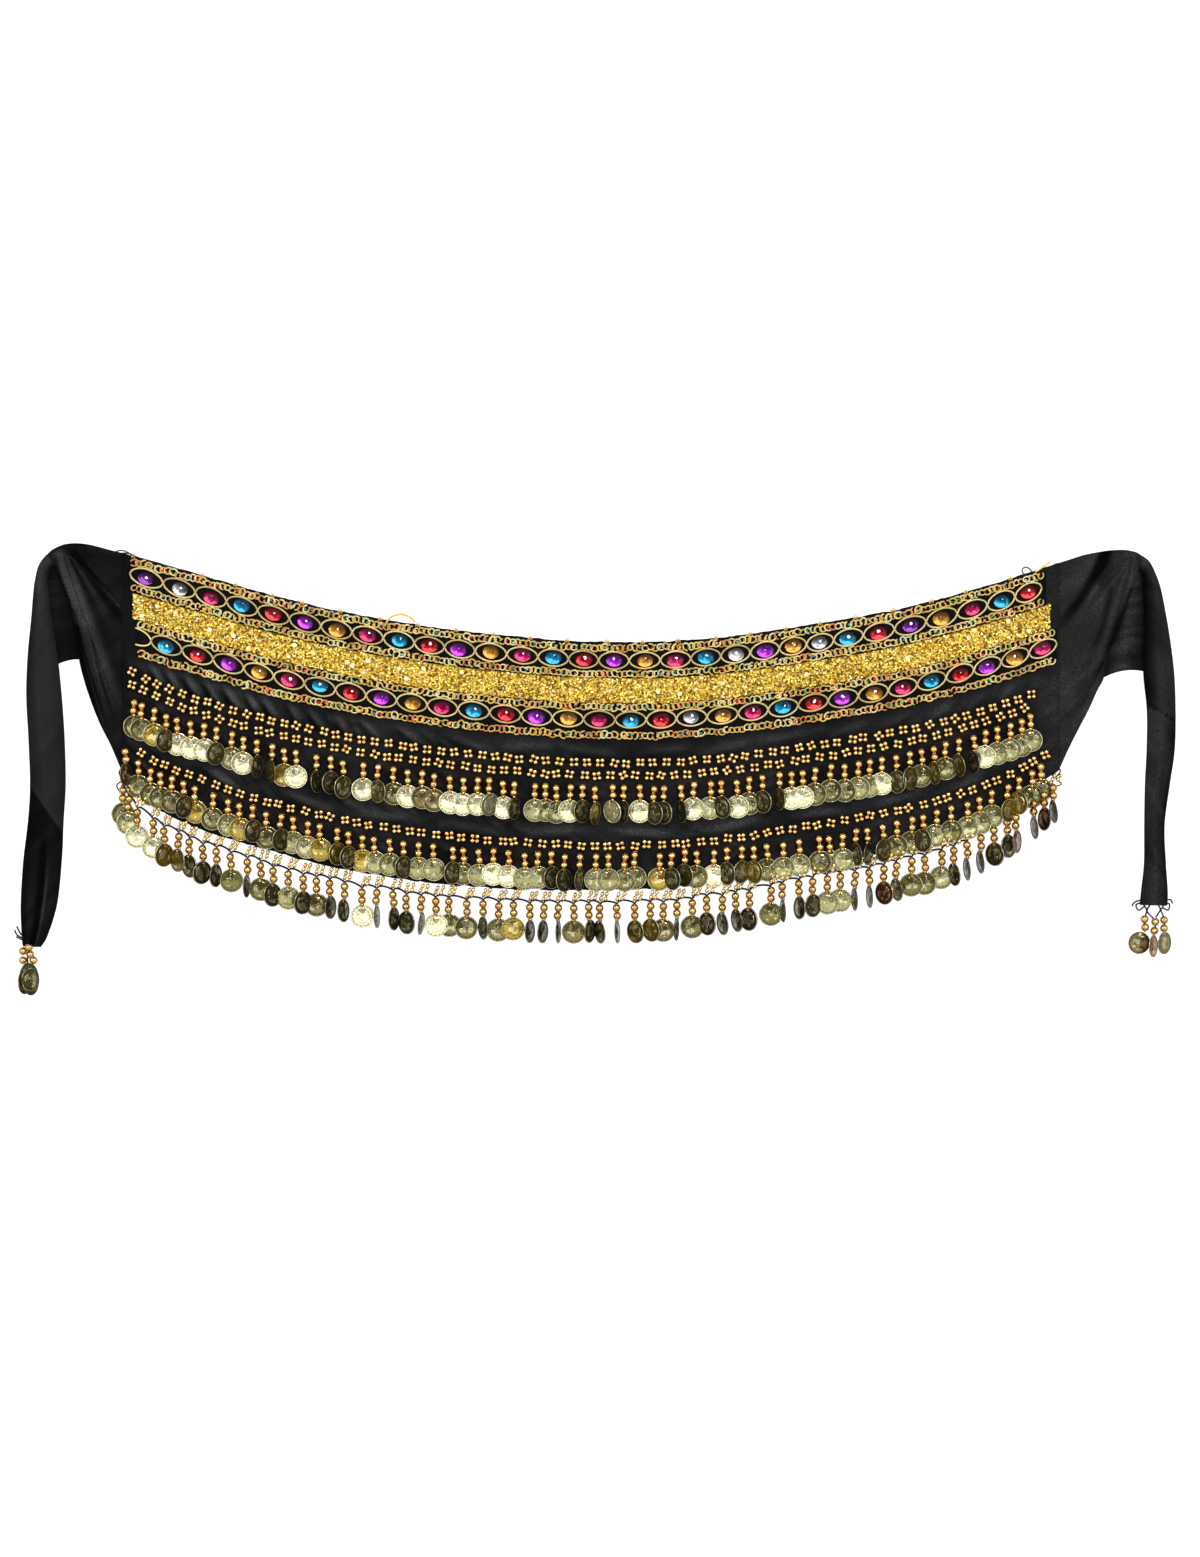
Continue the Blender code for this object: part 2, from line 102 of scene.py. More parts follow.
class Heap:
    """Copies of small shapes, gathered into one piece with a tint and a place in its own copy."""

    handed_in: ClassVar[list[Piece]] = []

    def __init__(self) -> None:
        """Starts empty."""
        self.batches: list[tuple[Array, ...]] = []
        self.count = 0

    def add(self, shape: Shape, places: Array | None = None, tints: Colour | Array = WHITE) -> None:
        """Adds a copy of the shape at each place.

        Args:
            shape: What is copied.
            places: A matrix for each copy; left out, the shape stays where it is.
            tints: One colour for all, one for each copy, or one for each point of a lone copy.
        """
        matrices = np.eye(4)[None] if places is None else places
        copies, size = len(matrices), len(shape.points)
        moved = np.einsum("nij,vj->nvi", matrices[:, :3, :3], shape.points)
        moved = moved + matrices[:, None, :3, 3]
        colours = np.asarray(tints, dtype=float)
        if colours.ndim == 1:
            colours = np.broadcast_to(colours, (copies * size, 3))
        elif len(colours) == copies and copies > 1:
            colours = np.repeat(colours, size, axis=0)
        starts = self.count + np.arange(copies) * size
        corners = (shape.corners[None] + starts[:, None]).ravel()
        spots, sizes = np.tile(shape.points, (copies, 1)), np.tile(shape.sizes, copies)
        self.batches.append((moved.reshape(-1, 3), colours, spots, corners, sizes))
        self.count += copies * size

    def add_cloth(self, top: Array, gauge: Amount, lay: Amount = 0.5, back: Amount = 0.0) -> None:
        """Adds cloth with two faces and a rounded edge.

        Args:
            top: The upper face as a grid of points, rows by columns by 3.
            gauge: The cloth's thickness, one number or one for each point.
            lay: How light the pile looks, from 0 to 1, painted sheen and shade included, likewise.
            back: How much of the smooth back shows instead, likewise.
        """
        grid = top.shape[:2]
        sheets = [np.broadcast_to(values, grid) for values in (gauge, np.clip(lay, 0.0, 1.0), back)]
        edge_a, edge_b = top[1, 0] - top[0, 0], top[0, 1] - top[0, 0]
        if edge_b[0] * edge_a[1] - edge_b[1] * edge_a[0] < 0:
            top, sheets = top[::-1], [values[::-1] for values in sheets]
        shape, rim = cloth_shell(top, sheets[0])
        shades = np.stack([sheets[1].ravel(), sheets[2].ravel(), np.zeros(top.size // 3)], axis=1)
        self.add(shape, tints=np.concatenate([shades, shades, shades[rim]]))

    def write(self, name: str, smooth: bool = True) -> Piece:
        """Writes the heap as one mesh object.

        Args:
            name: The object's name.
            smooth: Whether its faces are shaded smooth.

        Returns:
            The object, linked to the scene.
        """
        points, tints, spots, corners, sizes = (np.concatenate(batch) for batch in zip(*self.batches))
        mesh = bpy.data.meshes.new(name)
        mesh.vertices.add(len(points))
        mesh.vertices.foreach_set("co", (points * MM).ravel())
        mesh.loops.add(len(corners))
        mesh.loops.foreach_set("vertex_index", corners.astype(np.int32))
        mesh.polygons.add(len(sizes))
        starts = np.concatenate([[0], np.cumsum(sizes)[:-1]])
        mesh.polygons.foreach_set("loop_start", starts.astype(np.int32))
        mesh.polygons.foreach_set("use_smooth", np.full(len(sizes), smooth))
        tint = mesh.attributes.new("tint", "FLOAT_COLOR", "POINT")
        rgba = np.ones((len(points), 4))
        rgba[:, :3] = tints
        tint.data.foreach_set("color", rgba.ravel())
        spot = mesh.attributes.new("spot", "FLOAT_VECTOR", "POINT")
        spot.data.foreach_set("vector", spots.ravel())
        mesh.update(calc_edges=True)
        mesh.validate()
        piece = bpy.data.objects.new(name, mesh)
        bpy.context.scene.collection.objects.link(piece)
        return piece

    def hand_in(self, name: str, dress: "Dress", *nodes: str, smooth: bool = True) -> None:
        """Writes the heap as a dressed piece that rides on the scarf's one body.

        Args:
            name: The piece's name.
            dress: Its finish.
            nodes: The CAD nodes that it stands for.
            smooth: Whether its faces are shaded smooth.
        """
        piece = self.write(name, smooth)
        piece.data.materials.append(dress.finish())
        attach(piece, BODY)
        if nodes:
            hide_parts(*nodes)
        self.handed_in.append(piece)
        triangles = len(piece.data.loops) - 2 * len(piece.data.polygons)
        log.info("%s: %d triangles, for %s", name, triangles, nodes or "no node")


def placed(points: Array, turn: Amount = 0.0, swing: Amount = 0.0, tip: Amount = 0.0, size: Amount = 1.0) -> Array:
    """Matrices that put copies at the points.

    Args:
        points: Where each copy goes.
        turn: Degrees about +Z, after the other two.
        swing: Degrees about the copy's own Y axis.
        tip: Degrees about its own X axis, before the swing.
        size: How much larger it is.

    Returns:
        A 4 by 4 matrix for each point.
    """
    count = len(points)
    matrices = np.tile(np.eye(4), (count, 1, 1))
    turned = matrices[:, :3, :3].copy()
    for degrees, a, b in ((turn, 0, 1), (swing, 2, 0), (tip, 1, 2)):
        angle = np.radians(np.broadcast_to(degrees, count).astype(float))
        about = np.tile(np.eye(3), (count, 1, 1))
        about[:, a, a] = about[:, b, b] = np.cos(angle)
        about[:, b, a], about[:, a, b] = np.sin(angle), -np.sin(angle)
        turned = turned @ about
    scale = np.broadcast_to(size, count).astype(float)[:, None, None]
    matrices[:, :3, :3] = turned * scale
    matrices[:, :3, 3] = points
    return matrices


def bead(radius: float, segments: int, rings: int, waist: float = 0.0) -> Shape:
    """A round bead whose bore runs along Y.

    Args:
        radius: Its radius.
        segments: Points round it.
        rings: Rings of faces from end to end.
        waist: How far the bore's mouth is dimpled in.

    Returns:
        The bead.
    """
    points = [(0.0, radius - waist, 0.0)]
    for tilt in (pi * ring / rings for ring in range(1, rings)):
        for angle in (2 * pi * k / segments for k in range(segments)):
            reach = radius * sin(tilt)
            points.append((reach * sin(angle), radius * cos(tilt), reach * cos(angle)))
    points.append((0.0, waist - radius, 0.0))
    last = len(points) - 1
    faces: Faces = []
    for k in range(segments):
        j = (k + 1) % segments
        faces.append((0, 1 + k, 1 + j))
        for near in range(1, last - segments, segments):
            far = near + segments
            faces.append((near + k, far + k, far + j, near + j))
        faces.append((last - segments + k, last, last - segments + j))
    return shape_of(points, faces)


def tube(path: Array, radius: Amount, sides: int, closed: bool = False) -> Shape:
    """A cord along a path.

    Args:
        path: The points that its middle follows.
        radius: Half its thickness, one for all points or one for each.
        sides: Points round it.
        closed: Whether its end joins its beginning.

    Returns:
        The cord, with its ends filled if it has any.
    """
    count = len(path)
    if closed:
        along = np.roll(path, -1, axis=0) - np.roll(path, 1, axis=0)
    else:
        along = np.gradient(path, axis=0)
    along = along / np.maximum(np.linalg.norm(along, axis=1, keepdims=True), 1e-9)
    upright = np.tile((0.0, 0.0, 1.0), (count, 1))
    upright[np.abs(along[:, 2]) > 0.94] = (0.0, 1.0, 0.0)
    aside = np.cross(along, upright)
    aside /= np.linalg.norm(aside, axis=1, keepdims=True)
    over = np.cross(aside, along)
    angles = 2 * pi * np.arange(sides) / sides
    reach = np.broadcast_to(radius, count).astype(float)[:, None, None]
    ring = aside[:, None] * np.cos(angles)[None, :, None] + over[:, None] * np.sin(angles)[None, :, None]
    points = (path[:, None] + ring * reach).reshape(-1, 3)
    faces: Faces = []
    for i in range(count if closed else count - 1):
        near, far = i * sides, (i + 1) % count * sides
        for k in range(sides):
            j = (k + 1) % sides
            faces.append((near + k, near + j, far + j, far + k))
    if not closed:
        faces.append(tuple(range(sides - 1, -1, -1)))
        faces.append(tuple(range((count - 1) * sides, count * sides)))
    return shape_of(points, faces)


def cloth_shell(top: Array, gauge: Array, roll: float = 0.35) -> tuple[Shape, Array]:
    """Cloth with two faces and a rounded edge.

    Args:
        top: The upper face as a grid of points, rows by columns by 3.
        gauge: The cloth's thickness at each point of the grid.
        roll: How far the edge bulges, as a share of the thickness.

    Returns:
        The closed shell, and the grid point that each point of its rim stands beside.
    """
    rows, columns = top.shape[:2]
    under = top.copy()
    under[..., 2] -= gauge
    loop = [(0, j) for j in range(columns)] + [(i, columns - 1) for i in range(1, rows)]
    loop += [(rows - 1, j) for j in range(columns - 2, -1, -1)] + [(i, 0) for i in range(rows - 2, 0, -1)]
    rim = np.array(loop)
    inner = np.clip(rim, 1, (rows - 2, columns - 2))
    outward = top[rim[:, 0], rim[:, 1]] - top[inner[:, 0], inner[:, 1]]
    outward[:, 2] = 0.0
    outward /= np.maximum(np.linalg.norm(outward, axis=1, keepdims=True), 1e-9)
    upper, lower = top[rim[:, 0], rim[:, 1]], under[rim[:, 0], rim[:, 1]]
    middle = (upper + lower) / 2 + outward * roll * (upper - lower)[:, 2:]
    size, place = rows * columns, rim[:, 0] * columns + rim[:, 1]
    i, j = np.meshgrid(np.arange(rows - 1), np.arange(columns - 1), indexing="ij")
    a = (i * columns + j).ravel()
    faces_up = np.stack([a, a + 1, a + columns + 1, a + columns], axis=1)
    faces_down = faces_up[:, ::-1] + size
    onward = np.roll(np.arange(len(rim)), -1)
    mid = 2 * size + np.arange(len(rim))
    side_up = np.stack([place, mid, mid[onward], place[onward]], axis=1)
    side_down = np.stack([mid, place + size, place[onward] + size, mid[onward]], axis=1)
    faces = np.concatenate([faces_up, faces_down, side_up, side_down])
    points = np.concatenate([top.reshape(-1, 3), under.reshape(-1, 3), middle])
    return Shape(points, faces.ravel(), np.full(len(faces), 4)), place


def between(chance: np.random.Generator, count: int, first: Colour, second: Colour) -> Array:
    """Colours at random shares between two."""
    warm = chance.uniform(0, 1, (count, 1))
    return np.array(first) * (1 - warm) + np.array(second) * warm


def lay_with_painted_fold_light(top: Array, rise: Array, tone: Amount, crest: float, slope: float) -> Array:
    """How light the pile looks: painted highlight on the crests, painted shade in the troughs and on one side of them.

    Args:
        top: The cloth's upper face as a grid of points.
        rise: How far its folds stand up at each point.
        tone: The lay where it is flat.
        crest: How much a millimetre of rise lightens it, as a painted highlight.
        slope: How much a slope that faces up and to the right lightens it, as painted light from that side.

    Returns:
        The lay at each point.
    """
    along, across = np.gradient(top, axis=0), np.gradient(top, axis=1)
    square = np.cross(along, across)
    square /= np.maximum(np.linalg.norm(square, axis=2, keepdims=True), 1e-9)
    square *= np.sign(square[..., 2:])
    return tone + crest * (rise - 0.8) + slope * (0.75 * square[..., 0] + 0.65 * square[..., 1])


def numbers(table: str) -> Array:
    """A table's numbers, a row to each line."""
    return np.array([line.split() for line in table.strip().splitlines()], dtype=float)


def listed(text: str) -> Array:
    """A text's numbers, one after another."""
    return np.array(text.split(), dtype=float)


def smooth_at(places: Array, values: Array, x: Amount) -> Array:
    """The values on a smooth curve through the given values at the given places.

    Args:
        places: Where the values hold, in rising order.
        values: The values there.
        x: Where the curve is read, one number or many.

    Returns:
        The curve at x.
    """
    spot = np.asarray(x, dtype=float)
    last = len(places) - 1
    k = np.clip(np.searchsorted(places, spot, side="right") - 1, 0, last - 1)
    index = np.arange(last + 1)
    low, high = np.maximum(index - 1, 0), np.minimum(index + 1, last)
    slopes = (values[high] - values[low]) / (places[high] - places[low])
    width = places[k + 1] - places[k]
    t = (spot - places[k]) / width
    start, end, rise = slopes[k] * width, slopes[k + 1] * width, values[k + 1] - values[k]
    return values[k] + t * (start + t * (3 * rise - 2 * start - end + t * (start + end - 2 * rise)))


def smoothed(rows: Array, steps: int) -> Array:
    """Rows read smoothly at even steps."""
    places, shares = np.arange(len(rows), dtype=float), np.linspace(0.0, len(rows) - 1.0, steps + 1)
    return np.stack([smooth_at(places, column, shares) for column in rows.T], axis=1)


def paths(table: str) -> list[Array]:
    """A smooth path through the points on each line of a table, three numbers to a point."""
    lines = [listed(line).reshape(-1, 3) for line in table.strip().splitlines()]
    return [smoothed(points, 6 * (len(points) - 1)) for points in lines]


def ruled(table: str, steps: int, columns: int) -> tuple[Array, Array, Array]:
    """Cloth laid out between two edges, by sections along it.

    Args:
        table: The sections: two ends, then whatever else belongs to each.
        steps: How many steps along.
        columns: How many steps across.

    Returns:
        Each row's numbers, the shares across it, and the points between its two ends.
    """
    rows = smoothed(numbers(table), steps)
    across = np.linspace(0.0, 1.0, columns + 1)[None, :]
    first, last = rows[:, None, 0:2], rows[:, None, 2:4]
    return rows, across, first + (last - first) * across[..., None]


def wander(seed: int, x: Array, pitch: float) -> Array:
    """A slow, uneven wave between about -1 and 1.

    Args:
        seed: Picks the wave.
        x: Where it is read.
        pitch: The distance between its turns.

    Returns:
        The wave at x.
    """
    knots = seeded(seed).uniform(-1.0, 1.0, 400)
    place = (np.asarray(x, dtype=float) / pitch) % 398.0
    k = place.astype(int)
    t = place - k
    ease = t * t * (3 - 2 * t)
    return knots[k] * (1 - ease) + knots[k + 1] * ease


# ---- The crescent's map ----


# Across, the height of the waist edge there, and the hem's drop below it.
STATIONS = """
-430 195 196
-410 189.8 216
-360 175.5 227.5
-270 150.5 230
-180 132.5 230.5
-90 120.8 227
0 114.5 222.5
90 116.5 220
180 128 216.5
270 143.8 215
350 165 209
415 185.7 185
"""


@dataclass(frozen=True)
class Belt:
    """Where a line at some depth below the waist edge lies."""

    left: float = -428.0
    right: float = 415.0
    hem: float = 222.5

    def column(self, kind: int, x: Amount) -> Array:
        """One column of the stations, read smoothly at x."""
        table = numbers(STATIONS)
        return smooth_at(table[:, 0], table[:, kind], x)

    def height(self, x: Amount, depth: Amount) -> Array:
        """How far up the line at this depth lies at x.

        Args:
            x: Where along the scarf.
            depth: Millimetres below the waist edge, square to it near the waist.

        Returns:
            The y of the line.
        """
        place = np.asarray(x, dtype=float)
        slope = (self.column(1, place + 1.0) - self.column(1, place - 1.0)) / 2
        square = np.sqrt(1 + slope * slope)
        share = np.minimum(np.asarray(depth) / self.hem, 1.0) ** 2
        drop = self.column(2, place) / self.hem
        return self.column(1, place) - depth * ((1 - share) * square + share * drop)

    def slope(self, x: Amount, depth: Amount) -> Array:
        """The line's slope at x, in degrees.

        Args:
            x: Where along the scarf.
            depth: The line's depth.

        Returns:
            The slope at x.
        """
        place = np.asarray(x, dtype=float)
        rise = self.height(place + 1.0, depth) - self.height(place - 1.0, depth)
        return np.degrees(np.arctan2(rise, 2.0))

    def points(self, x: Amount, depth: Amount, z: Amount) -> Array:
        """Points on the line at x, one row for each."""
        place, level, rise = np.broadcast_arrays(np.asarray(x, dtype=float), depth, z)
        return np.stack([place, self.height(place, level), rise], axis=-1)

    def spread(self, ends: Span, depth: float, pitch: float) -> Array:
        """Places along the line whose spacing, measured along it, is the pitch.

        Args:
            ends: Where the line begins and ends, across.
            depth: The line's depth.
            pitch: The wanted spacing.

        Returns:
            The x of each place, both ends included.
        """
        fine = np.linspace(ends[0], ends[1], 1200)
        path = self.points(fine, depth, 0.0)
        run = np.concatenate([[0.0], np.cumsum(np.linalg.norm(np.diff(path, axis=0), axis=1))])
        return np.interp(np.linspace(0.0, run[-1], max(2, round(run[-1] / pitch) + 1)), run, fine)


BELT = Belt()


# ---- Finishes ----


class Bench:
    """Lays out the nodes of one material, group or room and wires them."""

    def __init__(self, tree: bpy.types.NodeTree, last: bpy.types.Node) -> None:
        """Works on this tree, and gives what it makes to the last node."""
        self.tree, self.ends = tree, last.inputs

    def give(self, name: str, value: Socket) -> None:
        """Wires a value to one of the last node's sockets."""
        self.tree.links.new(value, self.ends[name])

    def put(self, kind: str, feeds: dict[str | int, Feed] | None = None, **settings: object) -> bpy.types.Node:
        """Adds a node.

        Args:
            kind: The node's type.
            feeds: What goes into its sockets: another node's socket, or a value.
            **settings: The node's own properties.

        Returns:
            The node.
        """
        node = self.tree.nodes.new(kind)
        for name, value in settings.items():
            setattr(node, name, value)
        for socket, value in (feeds or {}).items():
            if isinstance(value, Socket):
                self.tree.links.new(value, node.inputs[socket])
            else:
                node.inputs[socket].default_value = value
        return node

    def ramp(self, mask: Socket, low: Feed, high: Feed, how: str = "SMOOTHSTEP") -> Socket:
        """A mask that rises from 0 at low to 1 at high."""
        feeds = {"Value": mask, "From Min": low, "From Max": high}
        return self.put("ShaderNodeMapRange", feeds, interpolation_type=how).outputs[0]

    def maths(self, work: str, first: Feed, second: Feed = 0.0) -> Socket:
        """One sum, product or the like of two values."""
        return self.put("ShaderNodeMath", {0: first, 1: second}, operation=work).outputs[0]

    def times(self, first: Feed, second: Feed) -> Socket:
        """The product of two values."""
        return self.maths("MULTIPLY", first, second)

    def plus(self, first: Feed, second: Feed) -> Socket:
        """The sum of two values."""
        return self.maths("ADD", first, second)

    def minus(self, first: Feed, second: Feed) -> Socket:
        """The first value less the second."""
        return self.maths("SUBTRACT", first, second)

    def blend(self, mask: Feed, first: Feed, second: Feed, how: str = "MIX") -> Socket:
        """A colour mixed from two by a mask.

        Args:
            mask: The share of the second colour.
            first: The colour where the mask is 0, as a socket or three numbers.
            second: The colour where it is 1, likewise.
            how: The way of mixing.

        Returns:
            The mixed colour.
        """
        feeds: dict[str | int, Feed] = {0: mask}
        for socket, colour in ((6, first), (7, second)):
            feeds[socket] = colour if isinstance(colour, Socket) else (*colour, 1.0)
        return self.put("ShaderNodeMix", feeds, data_type="RGBA", blend_type=how).outputs[2]

    def tinted(self, colour: Feed, tint: Feed) -> Socket:
        """The product of two colours."""
        return self.blend(1.0, colour, tint, "MULTIPLY")

    def parts(self, vector: Socket) -> Sequence[Socket]:
        """A vector's three numbers."""
        return self.put("ShaderNodeSeparateXYZ", {0: vector}).outputs

    def noise(self, where: Socket, scale: Feed, detail: float = 2.0, rough: float = 0.5) -> Socket:
        """The value of a noise texture."""
        feeds = {"Vector": where, "Scale": scale, "Detail": detail, "Roughness": rough}
        return self.put("ShaderNodeTexNoise", feeds).outputs["Fac"]

    def stretched(self, where: Socket, sizes: Colour, turn: float = 0.0) -> Socket:
        """Coordinates turned about Z and stretched."""
        feeds = {"Vector": where, "Scale": sizes, "Rotation": (0.0, 0.0, radians(turn))}
        return self.put("ShaderNodeMapping", feeds).outputs[0]


class EffectGroup(Bench):
    """A shader node group with named sockets, built once and placed in each material."""

    def __init__(self, name: str, inputs: dict[str, float], outputs: Sequence[str]) -> None:
        """Makes the empty group.

        Args:
            name: The group's name.
            inputs: Its number inputs and their usual values; a Vector is always there.
            outputs: Its number outputs.
        """
        tree = bpy.data.node_groups.new(name, "ShaderNodeTree")
        face = tree.interface
        face.new_socket(name="Vector", in_out="INPUT", socket_type="NodeSocketVector")
        for socket, value in inputs.items():
            made = face.new_socket(name=socket, in_out="INPUT", socket_type="NodeSocketFloat")
            made.default_value = value
        for socket in outputs:
            face.new_socket(name=socket, in_out="OUTPUT", socket_type="NodeSocketFloat")
        self.source = tree.nodes.new("NodeGroupInput").outputs
        super().__init__(tree, tree.nodes.new("NodeGroupOutput"))

    def place(self, bench: Bench, where: Socket, **values: Feed) -> bpy.types.Node:
        """Places the group in a material, at its coordinates and with its own values."""
        return bench.put("ShaderNodeGroup", {"Vector": where, **values}, node_tree=self.tree)


@cache
def weave() -> EffectGroup:
    """Crossed threads, for plain woven cloth and ribbon.

    Returns:
        The group.
    """
    bench = EffectGroup("woven_threads", {"Threads": 1400.0, "Unevenness": 0.3}, ("Height", "Thread"))
    source = bench.source
    parts = bench.parts(source["Vector"])
    waves = []
    for axis in (0, 1):
        run = bench.times(parts[axis], source["Threads"])
        waves.append(bench.maths("ABSOLUTE", bench.maths("SINE", bench.times(run, pi))))
    cross = bench.maths("MAXIMUM", waves[0], waves[1])
    uneven = bench.noise(source["Vector"], 420.0, 3.0)
    shift = bench.times(bench.minus(uneven, 0.5), source["Unevenness"])
    bench.give("Height", bench.plus(cross, shift))
    bench.give("Thread", bench.ramp(cross, 0.55, 0.95))
    return bench


@cache
def nap() -> EffectGroup:
    """The crushed pile of velour: masks for fine painted glints, and broader patches where it lies another way.

    Returns:
        The group.
    """
    inputs = {"Grain": 900.0, "Glints": 0.5, "Lay": 11.0}
    bench = EffectGroup("crushed_nap", inputs, ("Glint", "Patch", "Height"))
    source = bench.source
    grain = bench.noise(source["Vector"], source["Grain"], 3.0, 0.65)
    patch = bench.ramp(bench.noise(source["Vector"], source["Lay"], 4.0, 0.6), 0.36, 0.66)
    edge = bench.minus(0.74, bench.times(source["Glints"], 0.2))
    glint = bench.ramp(grain, edge, bench.plus(edge, 0.1), "LINEAR")
    bench.give("Glint", bench.times(glint, bench.plus(0.25, bench.times(patch, 0.75))))
    bench.give("Patch", patch)
    bench.give("Height", grain)
    return bench


@cache
def tarnish() -> EffectGroup:
    """Handled metal: cloudy tarnish, fine scratches and small dents.

    Returns:
        The group.
    """
    inputs = {"Clouds": 160.0, "Scratches": 900.0, "Amount": 0.5}
    bench = EffectGroup("handled_metal", inputs, ("Tarnish", "Scratch", "Height"))
    source = bench.source
    clouds = bench.noise(source["Vector"], source["Clouds"], 4.0, 0.6)
    low = bench.minus(0.62, bench.times(source["Amount"], 0.3))
    bench.give("Tarnish", bench.ramp(clouds, low, bench.plus(low, 0.2), "LINEAR"))
    drawn = bench.stretched(source["Vector"], (0.25, 1.0, 1.0), 35.0)
    scratch = bench.noise(drawn, source["Scratches"], 2.0, 0.5)
    bench.give("Scratch", bench.ramp(scratch, 0.52, 0.7))
    dents = bench.noise(source["Vector"], bench.times(source["Clouds"], 2.2), 2.0, 0.5)
    bench.give("Height", bench.plus(dents, bench.times(scratch, 0.3)))
    return bench


@cache
def stamp() -> EffectGroup:
    """A coin's stamped face: a rim, a ring of dots, and raised strokes that differ from coin to coin.

    Returns:
        A group that gives how far each place stands out, from 0 to 1, and where grime gathers, with
        painted shade round the coin's outer edge. Its Vector is the place on the coin in millimetres,
        and its Chance picks the strokes.
    """
    bench = EffectGroup("stamped_face", {"Chance": 0.0, "Rim": 9.6, "Dots": 8.75}, ("Raised", "Grooves_and_edge_shade"))
    source = bench.source
    parts = bench.parts(source["Vector"])
    squares = [bench.times(parts[axis], parts[axis]) for axis in (0, 1)]
    reach = bench.maths("SQRT", bench.plus(*squares))
    turn = bench.maths("ARCTAN2", parts[1], parts[0])
    rim = bench.ramp(bench.minus(reach, source["Rim"]), 0.0, 0.25, "LINEAR")
    beat = bench.ramp(bench.maths("SINE", bench.times(turn, 16.0)), 0.1, -0.7)
    away = bench.maths("ABSOLUTE", bench.minus(reach, source["Dots"]))
    pits = bench.ramp(bench.times(beat, bench.ramp(away, 1.2, 0.3)), 0.3, 0.6)
    spread = bench.put("ShaderNodeCombineXYZ", {0: source["Chance"], 2: source["Chance"]}).outputs[0]
    where = bench.put("ShaderNodeVectorMath", {0: source["Vector"], 1: spread}, operation="ADD").outputs[0]
    island = bench.ramp(bench.noise(where, 0.2, 1.0), 0.5, 0.55)
    strokes = bench.times(bench.times(island, 0.75), bench.ramp(reach, 7.3, 6.5))
    bench.give("Raised", bench.maths("MAXIMUM", rim, strokes))
    # Grime in the ring inside the rim and round the dots, and painted shade round the coin's outer edge.
    inside = bench.maths("ABSOLUTE", bench.minus(reach, 9.3))
    rings = bench.maths("MAXIMUM", bench.ramp(inside, 0.45, 0.2), bench.ramp(reach, 10.2, 10.5))
    bench.give("Grooves_and_edge_shade", bench.maths("MAXIMUM", rings, bench.times(pits, 0.9)))
    return bench


class Surface(Bench):
    """A material being made: its Principled shader and the coordinates to work in."""

    def __init__(self, name: str, **constants: Feed) -> None:
        """Starts a material.

        Args:
            name: The material's name.
            **constants: Values of the shader's sockets, with _ for a space.
        """
        self.material = bpy.data.materials.new(name)
        self.material.use_nodes = True
        self.shader = self.material.node_tree.nodes["Principled BSDF"]
        super().__init__(self.material.node_tree, self.shader)
        for socket, value in constants.items():
            self.shader.inputs[socket.replace("_", " ")].default_value = value
        self.where = self.put("ShaderNodeTexCoord").outputs["Object"]

    def attribute(self, name: str) -> Socket:
        """Reads the mesh's tint, as a colour, or spot, as a vector."""
        return self.put("ShaderNodeAttribute", attribute_name=name).outputs["Color" if name == "tint" else "Vector"]

    def bump(self, height: Socket, strength: float, depth: float) -> None:
        """Gives the surface a fine relief."""
        feeds = {"Height": height, "Strength": strength, "Distance": depth * MM}
        self.give("Normal", self.put("ShaderNodeBump", feeds).outputs[0])


@dataclass(frozen=True)
class Velour:
    """Crushed velour, as light and as speckled with painted glints as its lay says, with a smooth back of drawn
    threads.
    """

    name: str = "velour"
    # deep is the darkest pile and crest the lightest: painted shade in troughs, a painted highlight on crests; glint
    # colours the painted glints.
    deep: Colour = (0.0013, 0.0012, 0.0015)
    crest: Colour = (0.036, 0.0352, 0.0368)
    glint: Colour = (0.085, 0.084, 0.087)
    back_tint: Colour = (1.08, 1.0, 0.97)
    grain: float = 1050.0
    glints: float = 1.15
    threads: float = 1300.0

    def make(self) -> Finish:
        """Builds the material.

        Returns:
            The material.
        """
        bench = Surface(self.name, Sheen_Weight=0.02, Sheen_Roughness=0.35, Specular_IOR_Level=0.02)
        pile_nap = nap().place(bench, bench.where, Grain=self.grain, Glints=self.glints).outputs
        threads = weave().place(bench, bench.where, Threads=self.threads).outputs
        drawn = bench.noise(bench.stretched(bench.where, (1.0, 0.06, 1.0)), 260.0, 3.0)
        lay, back, _ = bench.put("ShaderNodeSeparateColor", {0: bench.attribute("tint")}).outputs
        pile = bench.minus(1.0, back)
        # Painted sheen and shade: the lay blends the ground from deep to crest.
        ground = bench.blend(bench.maths("POWER", lay, 1.5), self.deep, self.crest)
        patchy = bench.plus(0.7, bench.times(pile_nap["Patch"], 0.5))
        streaky = bench.plus(0.72, bench.times(drawn, 0.5))
        uneven = bench.plus(bench.times(patchy, pile), bench.times(streaky, back))
        ground = bench.tinted(ground, uneven)
        ground = bench.blend(back, ground, bench.tinted(ground, self.back_tint))
        # Painted glints in the pile, more where the lay is lighter.
        painted_glints = bench.times(pile_nap["Glint"], bench.times(bench.ramp(lay, 0.12, 0.95), pile))
        bench.give("Base Color", bench.blend(painted_glints, ground, self.glint))
        bench.give("Roughness", bench.minus(0.85, bench.times(painted_glints, 0.35)))
        height = bench.plus(bench.times(pile_nap["Height"], pile), bench.times(threads["Height"], back))
        bench.bump(height, 0.7, 0.4)
        return bench.material


